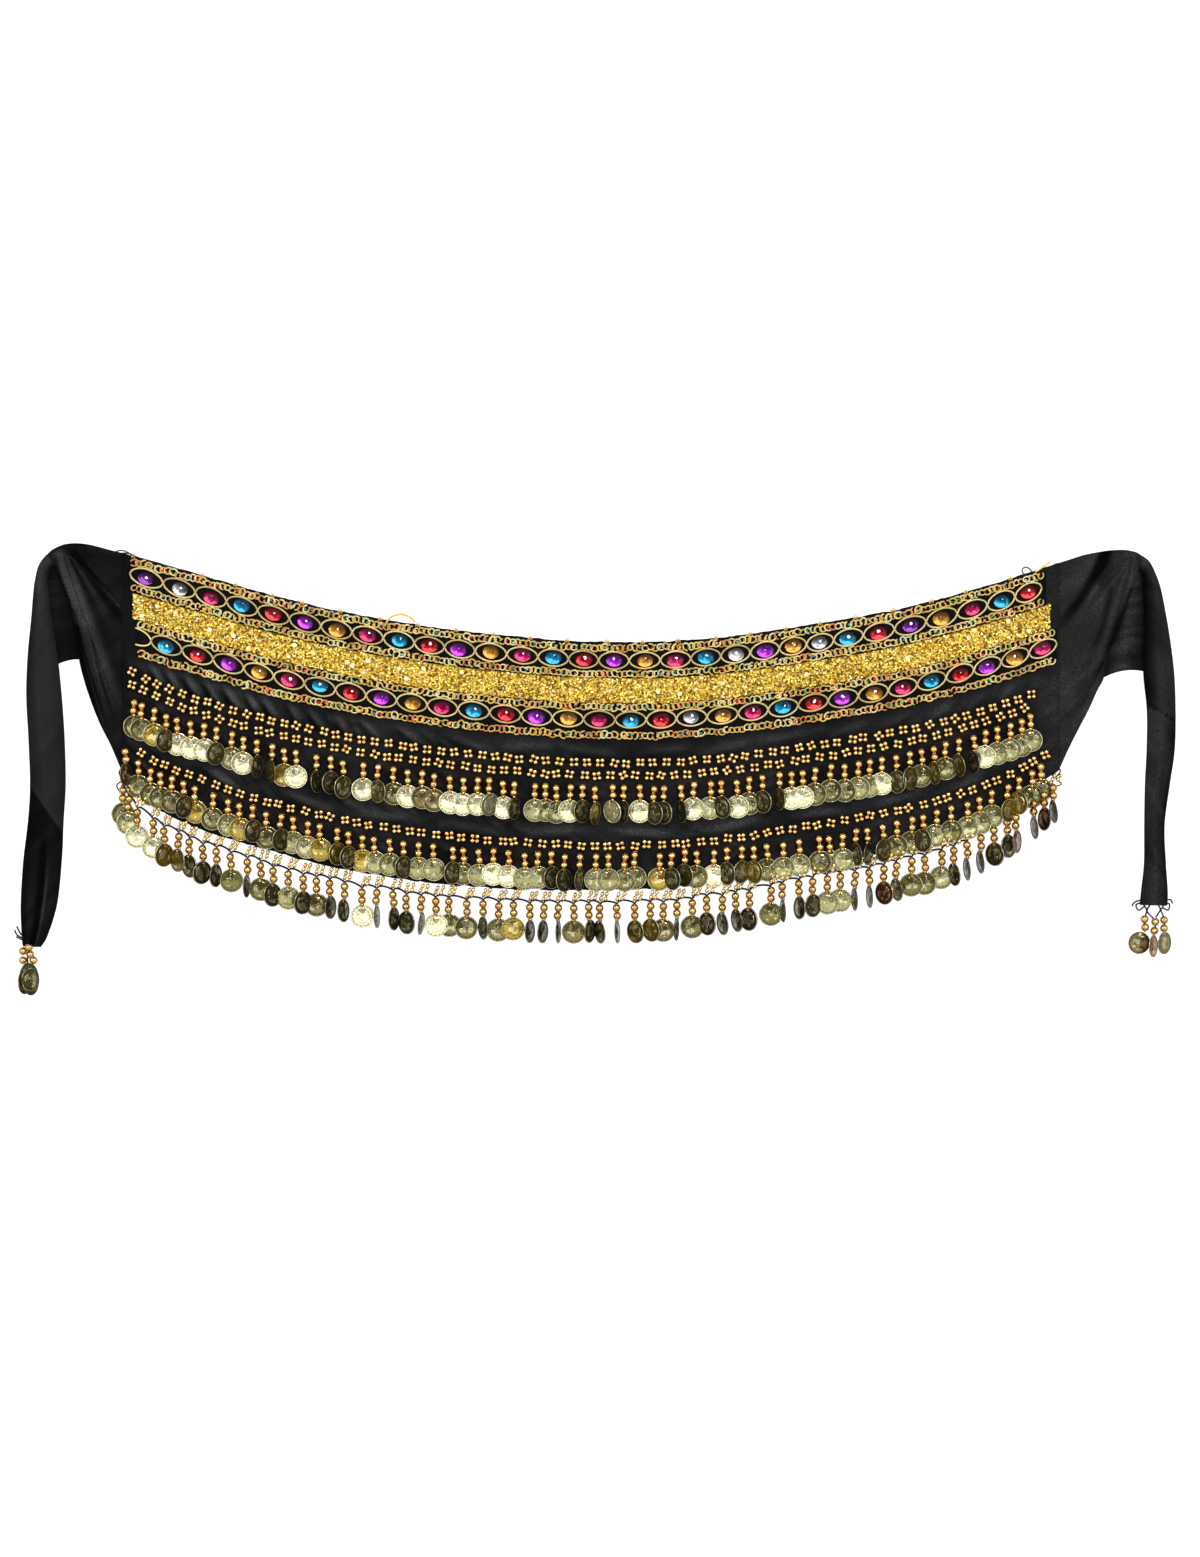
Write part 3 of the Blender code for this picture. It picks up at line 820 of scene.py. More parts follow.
@dataclass(frozen=True)
class PlainCloth:
    """Plain woven cloth: the trims' black ribbon, or the sequins' backing."""

    name: str
    ground: Colour
    raised: Colour
    threads: float
    sheen: float = 0.02

    def make(self) -> Finish:
        """Builds the material.

        Returns:
            The material.
        """
        bench = Surface(
            self.name, Sheen_Weight=self.sheen, Sheen_Roughness=0.4, Sheen_Tint=(0.8, 0.78, 0.78, 1.0),
            Specular_IOR_Level=0.04,
        )
        threads = weave().place(bench, bench.where, Threads=self.threads).outputs
        drawn = bench.stretched(bench.where, (1.0, 0.06, 1.0))
        streak = bench.ramp(bench.noise(drawn, 260.0, 3.0), 0.35, 0.68)
        shade = bench.plus(bench.times(threads["Thread"], 0.5), bench.times(streak, 0.5))
        bench.give("Base Color", bench.blend(shade, self.ground, self.raised))
        bench.give("Roughness", bench.minus(0.62, bench.times(threads["Thread"], 0.12)))
        bench.bump(threads["Height"], 0.5, 0.25)
        return bench.material


@dataclass(frozen=True)
class MetalYarn:
    """Metallic yarn or thread whose plies show as fine diagonal ridges."""

    name: str
    shadow: Colour
    furrow: Colour = (0.86, 0.8, 0.7)
    metallic: float = 0.5
    roughness: float = 0.3
    ply: float = 1500.0

    def make(self) -> Finish:
        """Builds the material.

        Returns:
            The material.
        """
        bench = Surface(self.name)
        threads = weave().place(bench, bench.stretched(bench.where, (1.0, 1.0, 1.0), 45.0), Threads=self.ply)
        rubbed = tarnish().place(bench, bench.where, Clouds=420.0, Amount=0.35).outputs
        tint = bench.attribute("tint")
        worn = bench.blend(bench.times(rubbed["Tarnish"], 0.25), tint, self.shadow)
        ridge = bench.blend(threads.outputs["Thread"], self.furrow, WHITE)
        bench.give("Base Color", bench.tinted(worn, ridge))
        bench.give("Roughness", bench.plus(self.roughness, bench.times(rubbed["Scratch"], 0.2)))
        bench.shader.inputs["Metallic"].default_value = self.metallic
        bench.bump(threads.outputs["Height"], 0.7, 0.25)
        return bench.material


@dataclass(frozen=True)
class PlatedMetal:
    """Thin plating, tinted copy by copy, tarnished in patches, and with painted shade down the flanks."""

    name: str
    tarnish: Colour
    amount: float
    roughness: float
    clouds: float = 160.0
    dents: float = 0.05
    metallic: float = 1.0
    flank: float = 0.0
    stamped: bool = False
    # rubbed lightens the raised relief: rubbed plating with a painted highlight; the next colour is grime, and painted
    # shade round a coin's edge.
    rubbed: Colour = (1.0, 0.97, 0.72)
    grime_and_edge_shade: Colour = (0.22, 0.2, 0.14)

    def make(self) -> Finish:
        """Builds the material.

        Returns:
            The material.
        """
        bench = Surface(self.name, Metallic=self.metallic)
        worn = tarnish().place(bench, bench.where, Clouds=self.clouds, Amount=self.amount).outputs
        tint, spot = bench.attribute("tint"), bench.attribute("spot")
        dull = bench.tinted(tint, self.tarnish)
        rough = bench.plus(self.roughness, bench.times(worn["Tarnish"], 0.16))
        colour, height = bench.blend(worn["Tarnish"], tint, dull), worn["Height"]
        # Painted shade: each copy darkens towards the tarnish colour down its lower flanks.
        if self.flank > 0:
            high = bench.parts(spot)[2]
            side = bench.ramp(high, self.flank * 0.8, self.flank * 0.15)
            colour = bench.blend(side, colour, dull)
        if self.stamped:
            spread = bench.parts(bench.where)[0]
            chance = bench.times(bench.maths("ROUND", bench.times(spread, 90.0)), 7.3)
            raised = stamp().place(bench, spot, Chance=chance).outputs
            height = raised["Raised"]
            # Raised relief lighter: partly rubbed plating and partly a painted highlight.
            bright = bench.blend(0.3, tint, self.rubbed)
            field = bench.blend(bench.plus(0.5, bench.times(worn["Tarnish"], 0.5)), tint, dull)
            colour = bench.blend(bench.times(height, 0.9), field, bright)
            # Grime in the hollows, and painted shade round the coin's edge.
            grime_and_edge_shade = bench.tinted(tint, self.grime_and_edge_shade)
            colour = bench.blend(bench.times(raised["Grooves_and_edge_shade"], 0.85), colour, grime_and_edge_shade)
        bench.give("Base Color", colour)
        bench.give("Roughness", bench.plus(rough, bench.times(worn["Scratch"], 0.08)))
        bench.bump(height, 0.6, self.dents)
        return bench.material


@dataclass(frozen=True)
class CutStone:
    """Foil-backed cut stone with painted light: a body painted dark above and light below, a painted flash near
    its middle, a painted reflection of its backing below, and a painted glow.
    """

    name: str = "cut_stone"
    # deep and bright: the body's painted shade above and painted light below; glow: how much of it glows.
    deep: Colour = (0.06, 0.06, 0.06)
    bright: Colour = (0.5, 0.5, 0.5)
    glow: Colour = (0.3, 0.3, 0.3)
    flash_from: Colour = (0.6, 1.3, 2.2)
    cell: Colour = (0.34, 0.34, 0.34)
    drift: Colour = (36.0, 36.0, 36.0)

    def make(self) -> Finish:
        """Builds the material.

        Returns:
            The material.
        """
        bench = Surface(
            self.name, Specular_IOR_Level=0.15, Coat_Weight=0.15, Coat_Roughness=0.03, Coat_IOR=1.45,
            Emission_Strength=0.7,
        )
        spot = bench.attribute("spot")
        parts = bench.parts(spot)
        drift = bench.stretched(bench.where, self.drift)
        feeds = {0: spot, 1: self.cell, 2: drift}
        where = bench.put("ShaderNodeVectorMath", feeds, operation="MULTIPLY_ADD").outputs[0]
        cells = bench.put("ShaderNodeTexVoronoi", {"Vector": where, "Scale": 1.0}).outputs["Color"]
        cell = bench.put("ShaderNodeSeparateColor", {0: cells}).outputs
        # Painted light that grows from the top of the stone to its bottom, facet by facet.
        fall = bench.plus(bench.times(parts[1], -0.3), bench.times(parts[0], -0.07))
        fall = bench.plus(fall, bench.times(cell[0], 1.1))
        painted_backing_reflection = bench.ramp(fall, 1.15, 1.5)
        # A painted flash near the middle, broken up facet by facet.
        feeds = {0: spot, 1: self.flash_from}
        shifted = bench.put("ShaderNodeVectorMath", feeds, operation="DISTANCE").outputs["Value"]
        flash = bench.ramp(bench.plus(shifted, bench.times(cell[1], 2.2)), 2.1, 1.5)
        scuff = tarnish().place(bench, bench.where, Clouds=300.0, Amount=0.2).outputs
        tint = bench.attribute("tint")
        deep = bench.tinted(tint, self.deep)
        # The body painted dark at the top and lighter below.
        rise = bench.maths("POWER", bench.ramp(fall, -0.8, 1.4), 1.7)
        body = bench.blend(rise, deep, bench.tinted(tint, self.bright))
        lit = bench.blend(0.06, tint, WHITE)
        colour = bench.blend(flash, bench.blend(painted_backing_reflection, body, lit), WHITE)
        bench.give("Base Color", colour)
        # A painted glow: the body emits a little, and the painted reflection and flash as much as their colour.
        alight = bench.maths("MAXIMUM", painted_backing_reflection, flash)
        bench.give("Emission Color", bench.blend(alight, bench.tinted(body, self.glow), colour))
        bench.give("Roughness", bench.plus(0.07, bench.times(scuff["Scratch"], 0.08)))
        bench.bump(scuff["Height"], 0.15, 0.05)
        return bench.material


@dataclass(frozen=True)
class SpunThread:
    """Black sewing thread, matt and slightly hairy."""

    name: str = "black_thread"
    ground: Colour = (0.006, 0.006, 0.007)
    raised: Colour = (0.012, 0.011, 0.02)

    def make(self) -> Finish:
        """Builds the material.

        Returns:
            The material.
        """
        bench = Surface(self.name, Roughness=0.8, Specular_IOR_Level=0.1)
        lay = bench.stretched(bench.where, (1.0, 1.0, 1.0), 45.0)
        ply = weave().place(bench, lay, Threads=1700.0).outputs
        bench.give("Base Color", bench.blend(ply["Thread"], self.ground, self.raised))
        bench.bump(ply["Height"], 0.8, 0.2)
        return bench.material


@dataclass(frozen=True)
class PaleFloor:
    """A smooth white bench with the faintest mottle."""

    name: str = "pale_floor"
    ground: Colour = (0.36, 0.36, 0.36)
    cloud: Colour = (0.38, 0.38, 0.38)

    def make(self) -> Finish:
        """Builds the material.

        Returns:
            The material.
        """
        white = {"Emission_Color": (*WHITE, 1.0), "Emission_Strength": 0.8}
        bench = Surface(self.name, Roughness=0.9, Specular_IOR_Level=0.1, **white)
        mottle = bench.ramp(bench.noise(bench.where, 3.0, 4.0), 0.2, 0.8)
        bench.give("Base Color", bench.blend(mottle, self.ground, self.cloud))
        return bench.material


COPPER: Colour = (0.62, 0.33, 0.16)


class Dress(Enum):
    """The scarf's finishes: how each is made, and a slot name that is not used."""

    VELOUR = Velour(), "velour"
    BACK = Velour("charcoal_back"), "satin_back"
    RIBBON = PlainCloth("black_ribbon", (0.001, 0.0009, 0.0008), (0.004, 0.0034, 0.003), 1500.0, sheen=0.0), "thread"
    BACKING = PlainCloth("gold_backing", (0.1, 0.05, 0.008), (0.3, 0.18, 0.03), 900.0), "sequins"
    CORD = MetalYarn("gold_cord", (0.2, 0.1, 0.025)), "gold_cord"
    SMALL_BEADS = PlatedMetal("small_gold_beads", COPPER, 0.3, 0.13, 500.0, flank=1.5), "small_beads"
    LARGE_BEADS = PlatedMetal("large_gold_beads", COPPER, 0.25, 0.1, 330.0, flank=3.8), "large_beads"
    COINS = PlatedMetal("stamped_coins", (0.5, 0.45, 0.27), 0.3, 0.14, 130.0, 0.26, 0.8, stamped=True), "coins"
    SEQUINS = PlatedMetal("gold_sequins", (0.8, 0.5, 0.22), 0.35, 0.2, 240.0, metallic=0.6), "sequins"
    SEEDS = PlatedMetal("braid_seed_beads", (0.5, 0.4, 0.35), 0.3, 0.16, 400.0, metallic=0.5), "small_beads"
    STONES = CutStone(), "gems"
    THREAD = SpunThread(), "thread"

    @cache
    def finish(self) -> Finish:
        """The material, made once."""
        return self.value[0].make()


# ---- Cloth ----


# Puckers placed one by one: across, depth, lean from the line, length, width and rise.
PUCKERS = """
-398 99 -50 22 3.2 1.5
-384 98 -62 24 3 1.8
-366 99 -55 26 3.6 2
-349 98 -58 26 3.2 1.9
-330 99 -50 28 4 2.2
-312 98 -60 24 3 1.7
-296 99 -52 26 3.6 2
-274 98 -58 24 3.4 1.8
-255 99 -48 26 3.2 1.7
-232 99 -56 22 3.6 1.5
-206 99 -40 26 3 1.4
-172 98 -30 30 3.4 1.2
-120 99 -14 46 3.2 1.1
-66 98 8 52 3 1.2
-8 99 -6 60 3.4 1.2
58 98 5 56 3 1.3
112 100 9 60 3.2 1.5
166 97 4 54 3 1.4
222 99 12 44 3.4 1.3
268 98 22 36 3 1.3
306 99 30 30 3.4 1.4
338 98 38 26 3.2 1.5
366 99 44 24 3.2 1.5
-340 172 -18 40 3.6 1.6
-262 173 -8 54 3.8 1.5
-190 172 6 60 3.6 1.6
-116 174 -4 66 3.8 1.4
-40 172 5 70 3.8 1.7
40 173 -5 66 3.6 1.5
118 172 6 64 3.8 1.6
196 173 -3 58 3.6 1.5
268 172 10 50 3.8 1.5
334 173 20 38 3.6 1.5
"""


@dataclass
class Crescent:
    """The velour crescent, drawn into puckers between the lines of stitching."""

    columns: int = 270
    rows: int = 76
    stitched: tuple[float, ...] = (90.0, 108.5, 119.8, 183.0)
    small_puckers: tuple[tuple[int, int, int], ...] = ((91, 107, 90), (124, 181, 150), (185, 221, 120))
    flat_to: float = 88.0
    seed: int = 11
    tones: Curve = ((-428.0, -390.0, 385.0, 415.0), (0.38, 0.45, 0.46, 0.62))

    def relief(self, x: Array, depth: Array) -> Array:
        """How far the puckers stand up at each point.

        Args:
            x: Where along the scarf.
            depth: The depth below the waist edge.

        Returns:
            Their rise in millimetres.
        """
        chance = seeded(self.seed)
        extra = []
        for low, high, count in self.small_puckers:
            for _ in range(count):
                across = chance.uniform(-420, 408)
                lean = copysign(chance.uniform(5, 62) * min(1.0, abs(across) / 300 + 0.25), across)
                size = (chance.uniform(10, 26), chance.uniform(1.4, 2.8), chance.uniform(0.25, 0.85))
                extra.append((across, chance.uniform(low, high), lean, *size))
        rise = np.zeros_like(x)
        for middle, level, lean, length, width, height in (*numbers(PUCKERS), *extra):
            across, down, lean = x - middle, depth - level, radians(lean)
            along = across * cos(lean) - down * sin(lean)
            aside = across * sin(lean) + down * cos(lean)
            reach = np.clip(1 - (2 * along / length) ** 2, 0, 1)
            rise = np.maximum(rise, height * reach * np.exp(-((aside / width) ** 2)))
        rise += 0.25 + 0.25 * wander(3, x * 0.9 + depth * 1.7, 7.0)
        for line in self.stitched:
            rise *= np.clip(np.abs(depth - line) / 5.0, 0.0, 1.0) ** 0.8
        rise *= np.clip((depth - self.flat_to) / 3.0, 0.0, 1.0)
        rise *= np.clip((BELT.hem - depth) / 3.0, 0.0, 1.0)
        return rise * np.clip(np.minimum(x - BELT.left, BELT.right - x) / 6.0, 0.0, 1.0)

    def build(self) -> None:
        """Builds and dresses the crescent."""
        x, depth = np.meshgrid(
            np.linspace(BELT.left, BELT.right, self.columns + 1), np.linspace(0.0, BELT.hem, self.rows + 1),
            indexing="ij",
        )
        rise = self.relief(x, depth)
        top = BELT.points(x, depth, CLOTH + rise)
        top[:, 0, 1] += 0.45 * wander(12, x[:, 0], 3.4) + 0.3 * wander(13, x[:, 0], 9.0)
        top[:, -1, 1] += 0.8 * wander(14, x[:, 0], 4.2) + 0.5 * wander(15, x[:, 0], 11.0)
        heap = Heap()
        # Painted light on the puckers: lighter crests and slopes that face up and to the right, darker troughs.
        heap.add_cloth(top, CLOTH + rise, lay_with_painted_fold_light(top, rise, np.interp(x, *self.tones), 0.2, 1.1))
        heap.hand_in("velour_crescent", Dress.VELOUR, "main_panel")


def fold_rises(table: str, x: Array, y: Array, tip: float = 0.35) -> list[Array]:
    """How far each fold of a table stands up, or sinks, at each point.

    Args:
        table: A row for each fold: its gathered tip, its bend, where it fades, its height and half its width.
        x: Where the points lie, across.
        y: Where they lie, upwards.
        tip: A fold's width at its tip, as a share of its full width.

    Returns:
        Each fold's rise in millimetres.
    """
    rises = []
    for fold in numbers(table):
        nearest = np.full(x.shape, 1e9)
        share = np.zeros(x.shape)
        for t in np.linspace(0.0, 1.0, 41):
            crest = (1 - t) ** 2 * fold[0:2] + 2 * t * (1 - t) * fold[2:4] + t * t * fold[4:6]
            away = np.hypot(x - crest[0], y - crest[1])
            closer = away < nearest
            nearest, share = np.where(closer, away, nearest), np.where(closer, t, share)
        away = np.minimum(nearest / (fold[7] * (tip + (1 - tip) * share)), 1.0)
        rises.append(fold[6] * (1 - share**3) * (0.5 + 0.5 * np.cos(pi * away)) ** 1.2)
    return rises


@dataclass
class EndPanel:
    """A gathered velour end panel: folds that run together where the tie begins, and painted sheen and shade on its
    pile.
    """

    side: str
    table: str
    folds: str
    creases: str
    painted_sheen_and_shade: str
    tone: float
    hem: float
    steps: int = 92
    columns: int = 96

    def build(self) -> None:
        """Builds and dresses the panel."""
        rows, _, flat = ruled(self.table, self.steps, self.columns)
        x, y = flat[..., 0], flat[..., 1]
        rises = np.sort(np.stack(fold_rises(self.folds, x, y)), axis=0)
        rise = rises[-1] + 0.25 * rises[-2]
        rise += sum(fold_rises(self.creases, x, y))
        rise += 0.22 * wander(5, x * 0.8 + y * 1.3, 9.0) + 0.16 * wander(8, x * 1.9 - y * 0.7, 5.0)
        from_seam = np.linspace(0.0, 1.0, self.steps + 1)[:, None]
        rise *= np.minimum(from_seam * 4.0, 1.0)
        from_free = np.linalg.norm(rows[:, None, 2:4] - flat, axis=2)
        if self.hem > 0:
            rise += 0.45 * np.exp(-(((from_free - self.hem / 2) / (self.hem / 2.4)) ** 2))
            rise -= 0.4 * np.exp(-(((from_free - self.hem) / 0.9) ** 2))
        z = np.maximum(rows[:, 4:5] + rise, 0.0) + CLOTH
        top = np.dstack([flat, z])
        heap = Heap()
        # Painted light on the pile: lighter crests and slopes, and strokes of painted sheen and painted shadow along
        # the folds and the free edge.
        lay = lay_with_painted_fold_light(top, rise, self.tone, 0.02, 0.25)
        lay += sum(fold_rises(self.painted_sheen_and_shade, x, y, 0.8))
        lay += 0.05 * wander(6, x * 0.7 - y * 0.9, 6.0)
        heap.add_cloth(top, CLOTH, lay)
        heap.hand_in(f"velour_end_{self.side}", Dress.VELOUR, f"end_panel_{self.side}")


@dataclass
class Tie:
    """A tie of velour that turns over once on its way down.

    A pleat's row is its place across at each end, its stretch along, its rise, width and shade: painted light along it.
    The turn runs slanting from turn_outer at its outer edge to turn_inner at its inner one; above
    it the cloth is as light at its outer edge, middle and inner edge as before says, with so much of
    its back showing, and below it as after says. That lightness is painted sheen and shade.
    """

    side: str
    table: str
    pleats: str
    before: tuple[float, float, float]
    after: tuple[float, float, float]
    turn_outer: float
    turn_inner: float
    back: float
    seed: int
    reach: float = 340.0
    steps: int = 170
    columns: int = 40

    def build(self) -> None:
        """Builds and dresses the tie."""
        rows, across, flat = ruled(self.table, self.steps, self.columns)
        along = np.linspace(0.0, 1.0, self.steps + 1)[:, None]
        width = np.linalg.norm(rows[:, None, 0:2] - rows[:, None, 2:4], axis=2)
        length = along * self.reach
        flat[..., 0] += 0.35 * wander(self.seed, length, 17.0) * (1 - 2 * np.abs(across - 0.5))
        rise = rows[:, 5:6] * (1 - (2 * np.abs(across - 0.5)) ** 2.6)
        below = self.turn_outer + (self.turn_inner - self.turn_outer) * across - flat[..., 1]
        turned = np.clip(below / 1.6 + 0.5, 0.0, 1.0)
        # Painted sheen and shade across the tie, and a line of painted shade in the crease of the turn.
        shade = np.interp(across, (0.0, 0.5, 1.0), self.before) * (1 - turned)
        shade = shade + np.interp(across, (0.0, 0.5, 1.0), self.after) * turned - 0.3 * np.exp(-((below - 1.0) ** 2))
        rise = rise + 0.8 * np.exp(-(((below + 2.5) / 3.0) ** 2)) - 0.6 * np.exp(-(((below - 1.0) / 1.6) ** 2))
        for first, last, start, end, height, half_width, tone in numbers(self.pleats):
            place = first + (last - first) * along
            place = place + 0.03 * wander(self.seed + 1, length, 31.0)
            away = np.abs(across - place) * width / half_width
            ease = np.clip((along - start) / 0.06, 0, 1) * np.clip((end - along) / 0.06, 0, 1)
            rise = rise + height * ease * np.exp(-(away**2))
            # The pleat's painted highlight, or its painted shade where its shade is below 0.
            shade = shade + tone * ease * np.exp(-(away**2))
        rise = rise + 0.16 * wander(self.seed + 2, length + 40 * across, 11.0)
        z = np.maximum(rows[:, 4:5], 0.0) + np.maximum(rise, 0.0) + CLOTH
        heap = Heap()
        top = np.dstack([flat, z])
        lay = shade + lay_with_painted_fold_light(top, rise, 0.0, 0.03, 0.15) + 0.05 * wander(9, length + 25 * across, 7.0)
        heap.add_cloth(top, CLOTH, lay, self.back * (1 - turned))
        heap.hand_in(f"tie_{self.side}_cloth", Dress.BACK, f"tie_{self.side}")


@dataclass
class BackLayer:
    """The panel's own back layer, which shows between it and the tie, with painted shadow beside the panel and the
    right tie.
    """

    side: str
    table: str
    shading_across: tuple[float, float, float]
    gauge: float = 1.2
    steps: int = 44
    columns: int = 24

    def build(self) -> None:
        """Builds and dresses the layer."""
        rows, across, flat = ruled(self.table, self.steps, self.columns)
        flat[..., 1] += rows[:, 4:5] * 4 * across * (1 - across)
        z = self.gauge + 0.1 * wander(21, flat[..., 0] * 1.5 + flat[..., 1] * 0.4, 6.0)
        heap = Heap()
        # Painted shadow across the layer: darkest beside the panel's free edge, and on the right beside the tie too.
        lay = np.interp(across, (0.0, 0.45, 1.0), self.shading_across)
        lay = lay * (1 + 0.35 * wander(22, flat[..., 1] - flat[..., 0] * 0.2, 3.0))
        heap.add_cloth(np.dstack([flat, z]), z, lay)
        name = f"back_layer_{self.side}"
        heap.hand_in(f"{name}_cloth", Dress.VELOUR, name)


# ---- Trims ----


class Stone(Enum):
    """The stones' foils: a letter and a colour."""

    VIOLET = "v", (0.5, 0.02, 0.75)
    DARK_VIOLET = "V", (0.2, 0.01, 0.32)
    AMBER = "a", (0.85, 0.36, 0.03)
    PINK = "p", (0.68, 0.005, 0.13)
    BLUE = "b", (0.0, 0.36, 0.66)
    RED = "r", (0.7, 0.003, 0.01)
    CLEAR = "w", (0.95, 0.95, 0.95)
    SMOKE = "s", (0.5, 0.5, 0.54)


class Turn(Enum):
    """How far a coin is turned about its thread, how far it is curled narrower, and how much painted shade darkens it.
    """

    FACE = "f", 3.5, 1.0, 1.0
    HALF = "t", 44.0, 1.0, 0.6
    NARROW = "n", 62.0, 0.92, 0.3
    EDGE = "e", 75.0, 0.85, 0.12


class Lustre(Enum):
    """A coin's colour, partly worn plating and partly painted light, and how far its foot is lowered towards the light.
    """

    BRIGHT = "b", (0.88, 0.86, 0.58), 5.4
    PALE = "m", (0.35, 0.335, 0.16), 4.6
    OLIVE = "o", (0.18, 0.162, 0.052), 3.6
    DARK = "d", (0.2, 0.165, 0.06), 2.4
    AMBER = "a", (0.4, 0.29, 0.045), 4.5
    RED = "r", (0.36, 0.12, 0.05), 3.0


def picked(kind: type[Enum], letters: str) -> list[tuple]:
    """The choices that a row of letters stands for, each without its letter."""
    known = {choice.value[0]: choice.value[1:] for choice in kind}
    return [known[letter] for letter in letters]


@dataclass(frozen=True)
class StoneCut:
    """An oval stone with a flat table and two rows of facets."""

    half_length: float = 7.6
    half_width: float = 6.1
    height: float = 2.7
    facets: int = 12

    def shape(self) -> Shape:
        """The stone, its girdle at z = 0.

        Returns:
            The shape.
        """
        tiers = ((1.0, 0.0, 0.0), (1.0, 0.55, 0.0), (0.8, 1.75, 0.5), (0.5, self.height, 0.0))
        points, count = [], self.facets
        for share, z, shift in tiers:
            for k in range(count):
                angle = 2 * pi * (k + shift) / count
                points.append((self.half_length * share * cos(angle), self.half_width * share * sin(angle), z))
        faces: Faces = [tuple(range(count - 1, -1, -1)), tuple(range(3 * count, 4 * count))]
        for k in range(count):
            j = (k + 1) % count
            (a, b), (c, d), (e, f) = ((tier * count + k, tier * count + j) for tier in (1, 2, 3))
            faces += [(k, j, b, a), (a, b, c), (b, d, c), (c, d, f), (c, f, e)]
        return shape_of(points, faces)


YELLOW_GOLD: Colour = (0.85, 0.6, 0.12)
PALE_GOLD: Colour = (0.98, 0.82, 0.32)
COPPER_GOLD: Colour = (0.6, 0.28, 0.07)
RING_GOLDS = ((0.74, 0.62, 0.26), (0.72, 0.6, 0.28), (0.66, 0.52, 0.2), (0.55, 0.42, 0.16))
BRAID_GOLDS = ((0.82, 0.7, 0.3), (0.72, 0.52, 0.12), (0.74, 0.42, 0.14), COPPER_GOLD)
SEED_COLOURS = (
    (0.02, 0.02, 0.025), (0.01, 0.3, 0.32), (0.65, 0.03, 0.03), (0.03, 0.3, 0.1), (0.9, 0.5, 0.15), (0.35, 0.5, 0.6),
)
# The sequins' golds; the two palest are painted glints, and the last goes only on the large sequins.
SEQUIN_GOLDS_AND_GLINTS = (
    (0.78, 0.53, 0.05), (0.85, 0.66, 0.13), (0.5, 0.27, 0.015), (0.13, 0.065, 0.004), (1.0, 0.92, 0.5),
    (1.0, 0.82, 0.42),
)
# The heights of the braids' and the rings' middles, and a ring cord's steps between two crossings.
BRAID_Z = ON_CLOTH + 1.5
RING_Z = ON_CLOTH + 1.7
RING_STEPS = 16
CORD_SIDES = 7


def braid_loop(start: float, end: float) -> Shape:
    """A flat loop of braid, closed or open.

    Args:
        start: Where it starts, in degrees.
        end: Where it ends.

    Returns:
        The loop.
    """
    closed = end - start >= 360.0
    angles = np.radians(np.linspace(start, end, 13))[: 12 if closed else 13]
    path = np.stack([3.3 * np.cos(angles), 2.6 * np.sin(angles), 0.2 * np.sin(2 * angles)], axis=1)
    return tube(path, 0.78, 5, closed)


